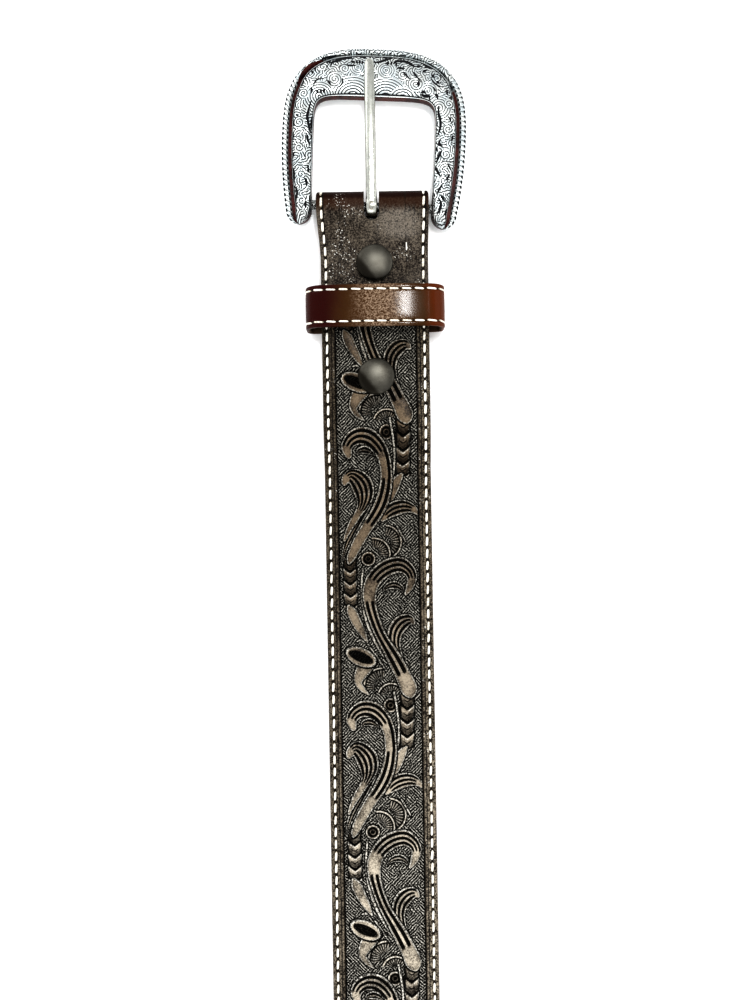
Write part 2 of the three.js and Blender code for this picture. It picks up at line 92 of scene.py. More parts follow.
class Finish:
    # One material: its node tree, its Principled shader and the few nodes that every finish here uses

    def __init__(self, name, **fixed):
        self.material = bpy.data.materials.new(name)
        self.material.use_nodes = True
        self.tree = self.material.node_tree
        self.shader = self.tree.nodes["Principled BSDF"]
        for key, value in fixed.items():
            words = "".join(" " + letter if letter.isupper() else letter for letter in key).title()
            self.shader.inputs[words.replace("Ior", "IOR")].default_value = value
        where = self.node("ShaderNodeTexCoord", {}, {}, "Object")
        self.place = self.node("ShaderNodeVectorMath", {"operation": "SCALE"}, {0: where, "Scale": 1.0 / mm})
        apart = self.node("ShaderNodeSeparateXYZ", {}, {0: self.place})
        self.x, self.y, self.z = apart, apart.out("Y"), apart.out("Z")

    def node(self, kind, settings, values, result=0):
        made = self.tree.nodes.new(kind)
        for key, value in settings.items():
            setattr(made, key, value)
        for key, value in values.items():
            if isinstance(value, Link):
                self.tree.links.new(value.socket, made.inputs[key])
            else:
                made.inputs[key].default_value = value
        return Link(self, made.outputs[result])

    def maths(self, operation, *values):
        return self.node("ShaderNodeMath", {"operation": operation}, dict(enumerate(values)))

    def ease(self, value, low, high):
        return self.node("ShaderNodeMapRange", {"interpolation_type": "SMOOTHSTEP"},
                         {0: value, 1: low, 2: high, 3: 0.0, 4: 1.0})

    def noise(self, pitch, detail=3.0, rough=0.55, vector=None):
        values = {"Vector": vector or self.place, "Scale": 1.0 / pitch, "Detail": detail, "Roughness": rough}
        return self.node("ShaderNodeTexNoise", {}, values)

    def cells(self, pitch):
        return self.node("ShaderNodeTexVoronoi", {"feature": "DISTANCE_TO_EDGE"},
                         {"Vector": self.place, "Scale": 1.0 / pitch}, "Distance")

    def stretched(self, x, y, z):
        return self.node("ShaderNodeVectorMath", {"operation": "MULTIPLY"}, {0: self.place, 1: (x, y, z)})

    def mark(self, name):
        return self.node("ShaderNodeAttribute", {"attribute_name": name}, {}, "Fac")

    def mixed(self, first, second, share):
        first, second = [(*c, 1.0) if isinstance(c, tuple) else c for c in (first, second)]
        return self.node("ShaderNodeMix", {"data_type": "RGBA"}, {0: share, 6: first, 7: second}, 2)

    def bump(self, height, distance, under=None):
        values = {"Height": height, "Distance": distance * mm, "Strength": 1.0}
        if under:
            values["Normal"] = under
        return self.node("ShaderNodeBump", {}, values)

    def feed(self, **links):
        names = {"colour": "Base Color", "roughness": "Roughness", "metallic": "Metallic",
                 "coat": "Coat Weight", "normal": "Normal"}
        for key, link in links.items():
            self.tree.links.new(link.socket, self.shader.inputs[names[key]])
        return self.material


# Meshes


def gridFaces(rows, columns, wrap, around=False):
    # Quads between the rows; wrap closes each row and around joins the last row to the first
    spots = np.arange(rows * columns).reshape(rows, columns)
    if around:
        spots = np.vstack([spots, spots[:1]])
    if wrap:
        spots = np.hstack([spots, spots[:, :1]])
    quads = np.stack([spots[:-1, :-1], spots[:-1, 1:], spots[1:, 1:], spots[1:, :-1]], axis=-1)
    return quads.reshape(-1, 4)


def makePiece(name, points, faces, material, marks=None, sharpAngle=None, weld=False):
    mesh = bpy.data.meshes.new(name)
    mesh.from_pydata((np.asarray(points, float) * mm).tolist(), [], [list(map(int, face)) for face in faces])
    for key, values in (marks or {}).items():
        mesh.attributes.new(key, "FLOAT", "POINT").data.foreach_set("value", np.asarray(values, np.float32))
    if weld:
        shape = bmesh.new()
        shape.from_mesh(mesh)
        bmesh.ops.remove_doubles(shape, verts=shape.verts, dist=0.002 * mm)
        rims = [edge for edge in shape.edges if edge.is_boundary]
        if rims:
            bmesh.ops.holes_fill(shape, edges=rims, sides=0)
        bmesh.ops.recalc_face_normals(shape, faces=shape.faces)
        shape.to_mesh(mesh)
        shape.free()
    mesh.polygons.foreach_set("use_smooth", [True] * len(mesh.polygons))
    if sharpAngle:
        mesh.set_sharp_from_angle(angle=math.radians(sharpAngle))
    mesh.materials.append(material)
    mesh.update()
    piece = bpy.data.objects.new(name, mesh)
    scene.collection.objects.link(piece)
    return piece


def settle(piece, body, slot, *nodes):
    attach(piece, body)
    if nodes:
        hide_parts(*nodes)


def splinePath(rows, perSpan):
    # A Catmull-Rom curve through the rows, with each sample's place counted in rows
    rows = np.asarray(rows, float)
    ends = np.vstack([2 * rows[0] - rows[1], rows, 2 * rows[-1] - rows[-2]])
    spans = []
    for number in range(1, len(ends) - 2):
        s = (np.arange(perSpan) / perSpan)[:, None]
        a, b, c, d = ends[number - 1:number + 3]
        spans.append(0.5 * (2 * b + (c - a) * s + (2 * a - 5 * b + 4 * c - d) * s ** 2
                            + (3 * b - a - 3 * c + d) * s ** 3))
    spans.append(rows[-1:])
    samples = np.vstack(spans)
    return samples, np.arange(len(samples)) / perSpan


# The path of the leather: along the flap, round the bar and down the front to the tip

leather = {
    "halfWidth": 19.0, "thickness": 3.3, "edgeRound": 0.9, "border": 4.45,
    "fieldStart": 31.0, "fieldFloor": 0.95,
    "shownLength": 283.3, "tipLength": 26.0,
    "foldThickness": 2.4, "foldRun": 13.5, "foldFlare": 0.9, "foldSideShift": -0.4, "foldReach": 1.043,
    "flapThickness": 2.0, "flapLength": 76.0, "flapInset": 0.4, "flapSkive": 5.0,
    "flapLevel": 2.1, "frontLevel": 4.4, "foldGap": 0.3, "barHeight": 4.6, "foldRadius": 1.9,
    "stepTop": 77.5, "stepLength": 18.0,
    "stitchInset": 1.8, "stitchSunk": 0.32,
    "slotSide": -0.7, "slotWidth": 5.4, "slotBack": 5.7,
}


def leatherPath():
    l = leather
    loose = lambda b: 1 - smoothStep(b / l["foldRun"])
    flare = lambda b: 1 - smoothStep(b / (l["foldRun"] * 1.5))
    reach = l["foldReach"]

    flap = np.arange(l["flapLength"], -reach, -0.1)
    full = blendOf(l["flapThickness"], l["foldThickness"], loose(flap))
    skive = 0.5 + 0.5 * smoothStep((l["flapLength"] - flap) / l["flapSkive"])
    flapMiddle = blendOf(l["flapLevel"], l["foldGap"], loose(flap)) + full * (1 - skive / 2)
    flapHalf = l["halfWidth"] - l["flapInset"] + flare(flap) * (l["foldFlare"] + l["flapInset"])

    turn = np.radians(np.arange(-90, 91, 1.5))
    radius = l["foldRadius"] + l["foldThickness"] / 2
    turnHalf = np.full(len(turn), l["halfWidth"] + l["foldFlare"])

    front = np.arange(-reach, l["shownLength"] + l["tipLength"] + 1.0, 0.1)[1:]
    frontThick = blendOf(l["thickness"], l["foldThickness"], loose(front))
    level = l["frontLevel"] * (1 - smoothStep((front - l["stepTop"]) / l["stepLength"]))
    frontBottom = blendOf(level, l["barHeight"] + l["foldRadius"], loose(front))
    frontHalf = l["halfWidth"] + flare(front) * l["foldFlare"]

    back = np.concatenate([flap, -reach - radius * np.cos(turn), front])
    turnMiddle = l["barHeight"] + radius * np.sin(turn)
    height = np.concatenate([flapMiddle, turnMiddle, frontBottom + frontThick / 2])
    keep = np.concatenate([[True], np.hypot(np.diff(back), np.diff(height)) > 1e-6])
    path = {
        "back": back, "height": height,
        "thick": np.concatenate([full * skive, np.full(len(turn), l["foldThickness"]), frontThick]),
        "half": np.concatenate([flapHalf, turnHalf, frontHalf]),
        "shift": l["foldSideShift"] * np.concatenate([flare(flap), np.ones(len(turn)), flare(front)]),
        "front": np.concatenate([np.zeros(len(flap) + len(turn)), np.ones(len(front))]),
    }
    path = {key: value[keep] for key, value in path.items()}
    run = np.concatenate([[0], np.cumsum(np.hypot(np.diff(path["back"]), np.diff(path["height"])))])
    even = np.arange(0, run[-1], 0.05)
    path = {key: np.interp(even, run, value) for key, value in path.items()}
    path["run"] = even
    alongY, alongZ = np.gradient(-path["back"], even), np.gradient(path["height"], even)
    size = np.hypot(alongY, alongZ)
    path["grainY"], path["grainZ"] = alongZ / size, -alongY / size
    return path


leatherRun = leatherPath()


def alongLeather(run, key):
    return np.interp(run, leatherRun["run"], leatherRun[key])


def runOfBack(back):
    # The run along the leather that lies this far behind the bar on the front
    start = np.argmax(leatherRun["front"] > 0.5)
    return np.interp(back, leatherRun["back"][start:], leatherRun["run"][start:])


def onLeather(x, run, lift):
    # Points in mm: lift counts from the middle of the thickness towards the grain side
    return np.stack([
        x + alongLeather(run, "shift"),
        barRow - alongLeather(run, "back") + alongLeather(run, "grainY") * lift,
        alongLeather(run, "height") + alongLeather(run, "grainZ") * lift,
    ], axis=-1)


tipRun = float(runOfBack(leather["shownLength"]))


def leatherOutline(straightRuns, tipSteps):
    # The left edge from the flap's end to the tip, as x, run and the direction inwards
    half = alongLeather(straightRuns, "half")
    turn = np.linspace(0, math.pi / 2, tipSteps + 1)[1:]
    semiX, semiL = leather["halfWidth"], leather["tipLength"]
    inward = np.stack([np.cos(turn) / semiX, -np.sin(turn) / semiL], axis=1)
    inward /= np.linalg.norm(inward, axis=1)[:, None]
    x = np.concatenate([-half, -semiX * np.cos(turn)])
    run = np.concatenate([straightRuns, tipRun + semiL * np.sin(turn)])
    inX = np.concatenate([np.ones(len(half)), inward[:, 0]])
    inL = np.concatenate([np.zeros(len(half)), inward[:, 1]])
    return x, run, inX, inL


print("leather path", round(float(leatherRun["run"][-1]), 1), "mm")


# Leather finishes


def leatherGrain(finish, pore, depth, under=None):
    creases = finish.cells(pore)
    pebble = finish.ease(creases, 0.0, 0.35) * 0.6 + finish.noise(pore * 0.5, 2.0) * 0.4
    return finish.bump(pebble, depth, under)


def tooledFinish():
    # Raised work with a worn sheen over a cross-hatched ground that is filled with black antique paste, with
    # painted highlights along edges and ridges, painted shade on the flanks of the raised work, and painted
    # light that grows towards the tip
    f = Finish("tooledLeather", specularIorLevel=0.05, coatRoughness=0.3)
    raised = f.mark("raised")
    cut = f.mark("cut")
    patch = f.noise(7.0, 3.0)
    fleck = f.noise(0.55, 3.0, 0.8)
    wobble = (f.noise(2.0, 2.0) - 0.5) * 1.6
    hatchA = f.maths("SINE", (f.x + f.y + wobble) * 5.2)
    hatchB = f.maths("SINE", (f.x - f.y + wobble) * 5.2)
    zone = f.ease(f.noise(5.0, 1.0), 0.40, 0.60)
    hatch = f.maths("MAXIMUM", hatchA - zone * 0.55, hatchB - (1.0 - zone) * 0.55)
    ground = 1.0 - f.ease(raised, 0.02, 0.22)
    worn = f.ease(raised + (fleck - 0.5) * 0.6, 0.2, 0.95)
    hatchTop = f.ease(hatch + (fleck - 0.5) * 4.5, 0.3, 1.6) * ground
    # Painted light: the hatch, the raised work and its highlights are painted lighter towards the tip
    paintedLightToTip = 1.0 - f.ease(f.y, -70.0, 90.0)
    low = f.mixed((0.002, 0.0015, 0.001), f.mixed((0.52, 0.50, 0.44), (0.80, 0.77, 0.69), paintedLightToTip), hatchTop)
    tan = f.mixed((0.165, 0.125, 0.084), (0.56, 0.50, 0.405), paintedLightToTip)
    mottle = f.noise(0.5, 3.0, 0.8)
    # Mottled tan on the raised work, with painted shade where its flanks fall away from the crown
    spread = patch * 0.45 + mottle * 0.55 + (raised - 0.8) * 0.14
    high = f.mixed((0.016, 0.011, 0.007), tan, f.ease(spread, 0.38, 0.65))
    colour = f.mixed(low, high, worn)
    # Painted highlights along the edges of the raised work and on its ridges
    glint = f.mark("glint") * f.ease(fleck, 0.42, 0.62)
    colour = f.mixed(colour, f.mixed((0.60, 0.57, 0.50), (0.92, 0.89, 0.81), paintedLightToTip), glint)
    colour = f.mixed(colour, (0.002, 0.0015, 0.001), f.ease(cut, 0.12, 0.7) * 0.97)
    roughness = 0.6 - worn * 0.22 + (fleck - 0.5) * 0.3
    coat = worn * 0.14 * (1.0 - f.ease(cut, 0.1, 0.5))
    hatchBump = f.bump(hatch * ground, 0.13)
    return f.feed(colour=colour, roughness=roughness, coat=coat, normal=leatherGrain(f, 0.7, 0.05, hatchBump))


def strapFinish():
    # Smooth grey-brown grain on the outside with antiqued border lines and burnished brown edges. Painted
    # into the colour: a reflection beside the slot, glints, shade over the fold's top, in two creases, along
    # the seam and on the left edge, and light that grows towards the tip
    f = Finish("strapLeather", specularIorLevel=0.07, coatRoughness=0.32)
    line = f.mark("line")
    margin = f.mark("margin")
    edge = f.mark("edge")
    flesh = f.mark("flesh")
    fleck = f.noise(0.6, 3.0, 0.8)
    patch = f.noise(11.0, 3.0)
    scuff = f.noise(2.0, 4.0, 0.7, f.stretched(1.0, 0.3, 1.0))
    pebble = f.noise(0.5, 2.0, 0.75)
    # A painted reflection: a soft lighter patch on the fold to the right of the slot
    fromShine = ((f.x - 9.0) / 9.0) ** 2.0 + ((f.y - 183.0) / 6.0) ** 2.0
    shine = 1.0 - f.ease(fromShine + (scuff - 0.5) * 1.4, 0.0, 1.3)
    grain = f.mixed((0.005, 0.003, 0.002), (0.150, 0.126, 0.098),
                    f.ease(patch * 0.1 + pebble * 0.65 + scuff * 0.25 + shine * 0.05, 0.40, 0.67))
    grain = f.mixed(grain, (0.20, 0.175, 0.145), shine * f.ease(pebble, 0.35, 0.65) * 0.45)
    # Painted shade where the fold turns over the bar, reddish, and near black along its crest
    grain = f.mixed(grain, (0.030, 0.010, 0.003), f.ease(f.y + (scuff - 0.5) * 5.0, 186.5, 190.5) * 0.8)
    grain = f.mixed(grain, (0.012, 0.003, 0.0015), f.ease(f.y, 191.3, 192.6) * 0.9)
    # Painted shade along two lengthwise creases
    for creaseX in (-12.0, 11.2):
        creaseShade = 1.0 - f.ease(f.maths("ABSOLUTE", f.x - creaseX + (scuff - 0.5) * 0.5), 0.1, 0.35)
        grain = f.mixed(grain, (0.010, 0.007, 0.004), creaseShade * f.ease(f.noise(2.4, 2.0), 0.42, 0.55) * 0.8)
    # Painted light: the rubbed margins are painted lighter towards the tip
    paintedLightToTip = 1.0 - f.ease(f.y, -80.0, 110.0)
    wearAndSheen = f.mixed((0.006, 0.004, 0.002), f.mixed((0.17, 0.14, 0.10), (0.37, 0.32, 0.25), paintedLightToTip),
                     f.ease(pebble * 0.7 + scuff * 0.3, 0.42, 0.64))
    colour = f.mixed(grain, wearAndSheen, margin)
    # Painted glints, gathered left of the upper snap, with a pale nick among them
    cluster = 1.0 - f.ease(((f.x + 11.0) / 5.5) ** 2.0 + ((f.y - 168.0) / 15.0) ** 2.0, 0.3, 1.2)
    glint = f.ease(f.noise(0.6, 2.0, 0.6), 0.61, 0.67)
    glint = glint * f.ease(f.noise(7.0, 1.0) + cluster * 0.16, 0.58, 0.66)
    nick = (1.0 - f.ease(f.maths("ABSOLUTE", f.x - 11.4), 0.12, 0.3)) * (
        1.0 - f.ease(f.maths("ABSOLUTE", f.y - 175.0), 1.2, 1.6))
    glint = f.maths("MAXIMUM", glint, nick)
    colour = f.mixed(colour, (0.78, 0.76, 0.70), glint * (1.0 - flesh) * 0.85)
    # The antiqued border lines, and painted shade along the stitch channel
    colour = f.mixed(colour, (0.003, 0.002, 0.0015), f.ease(line, 0.2, 0.8) * 0.95)
    burnished = f.mixed((0.030, 0.010, 0.004), (0.16, 0.088, 0.052),
                        f.ease(pebble * 0.6 + scuff * 0.4, 0.40, 0.65))
    colour = f.mixed(colour, burnished, edge)
    shaded = (1.0 - f.ease(f.x, -16.5, -13.0)) * f.maths("MAXIMUM", margin * 0.45, edge * 0.7)
    colour = f.mixed(colour, (0.008, 0.005, 0.003), shaded)
    nap = f.mixed((0.10, 0.068, 0.045), (0.19, 0.14, 0.10), f.ease(fleck * 0.6 + scuff * 0.4, 0.35, 0.65))
    colour = f.mixed(colour, nap, flesh)
    roughness = 0.46 + (fleck - 0.5) * 0.35 + flesh * 0.35
    coat = (f.ease(patch, 0.4, 0.62) * 0.05 + shine * 0.2) * (1.0 - flesh)
    wrinkles = f.bump(scuff, 0.25)
    return f.feed(colour=colour, roughness=roughness, coat=coat, normal=leatherGrain(f, 0.7, 0.06, wrinkles))


def threadFinish():
    # Waxed cream thread, two plies twisted, a little grey where it goes into the leather
    f = Finish("creamThread", sheenWeight=0.15, specularIorLevel=0.35)
    ply = f.mark("ply")
    tone = f.mark("tone")
    ridge = f.maths("SINE", ply * (2 * math.pi))
    # Painted shade makes the grooves between the plies a little darker
    colour = f.mixed((0.36, 0.31, 0.23), (0.84, 0.81, 0.73), f.ease(ridge * 0.12 + tone, -0.1, 0.5))
    roughness = 0.75 - f.noise(0.3) * 0.15
    return f.feed(colour=colour, roughness=roughness, normal=f.bump(ridge, 0.035))


def holeShadeFinish():
    # Painted shade for the awl holes, near black and mottled a little
    f = Finish("awlHoleShade", specularIorLevel=0.2)
    shadeMottle = f.noise(0.2)
    colour = f.mixed((0.004, 0.003, 0.002), (0.02, 0.015, 0.01), shadeMottle)
    return f.feed(colour=colour, roughness=0.8 + shadeMottle * 0.1)


tooledLook = tooledFinish()
strapLook = strapFinish()
threadLook = threadFinish()
holeShadeLook = holeShadeFinish()


# Strap: one closed skin whose rim follows the outline, with the slot and the snap holes cut through


def strapSection(thick, field):
    # From the middle of the rim's grain side round the edge to its flesh side, as inset and lift rows
    l = leather
    top = thick / 2
    sunk = l["stitchSunk"]
    wall = [(5.3, -l["fieldFloor"] * field), (4.7, -l["fieldFloor"] * field), (4.52, -0.8 * field),
            (4.44, -0.34 * field), (4.3, -0.07 * field), (4.1, 0.0)]
    groove = [(3.6, 0.0), (3.44, -0.14 * field), (3.26, -0.14 * field), (3.1, 0.0), (2.7, 0.0)]
    channel = [(2.4, -0.02), (2.12, -0.7 * sunk), (1.8, -sunk), (1.48, -0.7 * sunk), (1.2, -0.02)]
    rows = wall + groove + channel
    section = [(inset, top + lift) for inset, lift in rows]
    round_ = min(l["edgeRound"], thick * 0.45)
    for angle in np.radians(np.linspace(8, 90, 7)):
        section.append((round_ * (1 - math.sin(angle)), top - round_ * (1 - math.cos(angle))))
    lower = [(inset, -lift) for inset, lift in reversed(section[13:])]
    lower += [(1.5, -top + 0.2), (1.8, -top + 0.3), (2.1, -top + 0.2), (2.4, -top), (5.3, -top)]
    return np.array(section + lower)


def makeStrap():
    l = leather
    foldStart = l["flapLength"] - l["foldRun"]
    frontZero = float(runOfBack(0.0))
    runs = np.unique(np.round(np.concatenate([
        np.arange(0.0, 6, 0.7), np.arange(6, foldStart, 2.5),
        np.arange(foldStart, frontZero + l["foldRun"], 0.35),
        runOfBack(np.arange(l["foldRun"], 30.0, 1.5)), runOfBack(np.array([30.4, 30.7, 31.0, 31.3])),
        runOfBack(np.arange(32.0, l["stepTop"], 2.5)),
        runOfBack(np.arange(l["stepTop"], l["stepTop"] + l["stepLength"], 0.75)),
        runOfBack(np.arange(l["stepTop"] + l["stepLength"], l["shownLength"] + 0.01, 2.5)),
    ]), 3))
    x, run, inX, inL = leatherOutline(runs, 30)
    middleTop, middleBottom = 22, 10
    loops = []
    for number in range(len(x)):
        thick = float(alongLeather(run[number], "thick"))
        back = float(alongLeather(run[number], "back"))
        isFront = run[number] > frontZero
        field = float(smoothStep((back - 30.4) / 0.9)) if isFront else 0.0
        rim = strapSection(thick, field)
        inset = rim[:, 0]
        leftX = x[number] + inX[number] * inset
        leftRun = run[number] + inL[number] * inset
        if number == len(x) - 1:  # the tip's last loop closes on the centre line
            leftX = np.zeros(len(inset))
        left = np.stack([leftX, leftRun, rim[:, 1]], axis=1)
        right = left * [-1, 1, 1]
        share = np.linspace(0, 1, middleTop + 2)[1:-1, None]
        top = left[0] + (right[0] - left[0]) * share
        share = np.linspace(0, 1, middleBottom + 2)[1:-1, None]
        bottom = right[-1] + (left[-1] - right[-1]) * share
        loops.append(np.vstack([left[::-1], top, right, bottom]))
    loops = np.array(loops)
    points = onLeather(loops[..., 0], loops[..., 1], loops[..., 2])
    faces = gridFaces(points.shape[0], points.shape[1], True).tolist()
    return makePiece("strapBody", points.reshape(-1, 3), faces, strapLook, weld=True)


def cutThrough(piece, cutters):
    for cutter in cutters:
        hollow = piece.modifiers.new("cut", "BOOLEAN")
        hollow.operation = "DIFFERENCE"
        hollow.solver = "EXACT"
        hollow.object = cutter
    bpy.context.view_layer.update()
    shaped = piece.evaluated_get(bpy.context.evaluated_depsgraph_get())
    mesh = bpy.data.meshes.new_from_object(shaped)
    piece.modifiers.clear()
    old = piece.data
    piece.data = mesh
    mesh.name = piece.name
    bpy.data.meshes.remove(old)
    for cutter in cutters:
        bpy.data.objects.remove(cutter)
    mesh.polygons.foreach_set("use_smooth", [True] * len(mesh.polygons))
    mesh.set_sharp_from_angle(angle=math.radians(48))


def markStrap(piece):
    # Shade for the border's two lines and the seam, the rubbed margin, the burnished edge and the flesh side
    l = leather
    mesh = piece.data
    spots = np.empty(len(mesh.vertices) * 3)
    mesh.vertices.foreach_get("co", spots)
    spots = spots.reshape(-1, 3) / mm
    normals = np.empty(len(mesh.vertices) * 3)
    mesh.vertices.foreach_get("normal", normals)
    normals = normals.reshape(-1, 3)
    back = barRow - spots[:, 1]
    half = l["halfWidth"] + l["foldFlare"] * (1 - smoothStep(back / (l["foldRun"] * 1.5)))
    inset = half - np.abs(spots[:, 0])
    beyond = np.maximum(back - l["shownLength"], 0)
    oval = np.hypot(spots[:, 0] / l["halfWidth"], beyond / l["tipLength"])
    slope = np.hypot(spots[:, 0] / l["halfWidth"] ** 2, beyond / l["tipLength"] ** 2) / np.maximum(oval, 1e-6)
    inset = np.where(back > l["shownLength"], (1 - oval) / np.maximum(slope, 1e-6), inset)
    up = smoothStep((normals[:, 2] - 0.25) / 0.3)
    flesh = smoothStep((-normals[:, 2] - 0.5) / 0.3)
    edge = (1 - up) * (1 - flesh) * smoothStep((1.0 - inset) / 0.3)
    near = lambda centre, wide: smoothStep(1.3 - np.abs(inset - centre) / wide)
    carved = smoothStep((back - l["fieldStart"]) / 2)
    line = up * np.clip((near(3.35, 0.2) * 0.85 + near(4.5, 0.32)) * carved
                        + 0.8 * near(l["stitchInset"], 0.72), 0, 1)
    margin = up * carved * (1 - smoothStep((inset - 3.9) / 0.5))
    marks = {"line": line, "margin": margin, "edge": edge, "flesh": flesh}
    for key, values in marks.items():
        mesh.attributes.new(key, "FLOAT", "POINT").data.foreach_set("value", values.astype(np.float32))


def prismCutter(outline, low, high):
    outline = np.asarray(outline, float)
    count = len(outline)
    points = np.vstack([np.column_stack([outline, np.full(count, z)]) for z in (low, high)])
    faces = [[a, (a + 1) % count, (a + 1) % count + count, a + count] for a in range(count)]
    faces += [list(range(count))[::-1], list(range(count, 2 * count))]
    return makePiece("cutter", points, faces, holeShadeLook, weld=True)


def roundOutline(centreX, centreY, radius, start, end, steps):
    turn = np.radians(np.linspace(start, end, steps))
    return np.column_stack([centreX + radius * np.cos(turn), centreY + radius * np.sin(turn)])


snaps = {"places": {"snap_upper": 20.8, "snap_lower": 60.8}, "capRadius": 6.5, "capBottom": 8.0, "rim": 0.7,
         "capHeight": 2.1, "postRadius": 2.0, "holeRadius": 2.3, "flangeRadius": 5.0, "flangeTop": 1.8,
         "flangeThickness": 0.8}

strapBody = makeStrap()
cutterSpan = (-4, 14)  # mm, from below the belt to above the fold
slotRadius = leather["slotWidth"] / 2
slotEnd = barRow - leather["slotBack"] + slotRadius
slotOutline = np.vstack([
    roundOutline(leather["slotSide"], slotEnd, slotRadius, 180, 360, 33),
    [[leather["slotSide"] + slotRadius, barRow + 12], [leather["slotSide"] - slotRadius, barRow + 12]],
])
cutThrough(strapBody, [prismCutter(slotOutline, *cutterSpan)] + [
    prismCutter(roundOutline(0, barRow - place, snaps["holeRadius"], 0, 351, 40), *cutterSpan)
    for place in snaps["places"].values()])
markStrap(strapBody)
settle(strapBody, "belt", "tooled_leather", "strap")
print("strap body", len(strapBody.data.polygons), "faces")


# Tooled field: the carved repeat is charted. A stem's rows give its place across as a
# percentage of the field's half width, its place along as a percentage of the repeat, and its width as a
# percentage of the field's half width. A groove says from which row to which it is cut, where it lies
# from -1 to 1 across the stem, and how wide it is in mm.

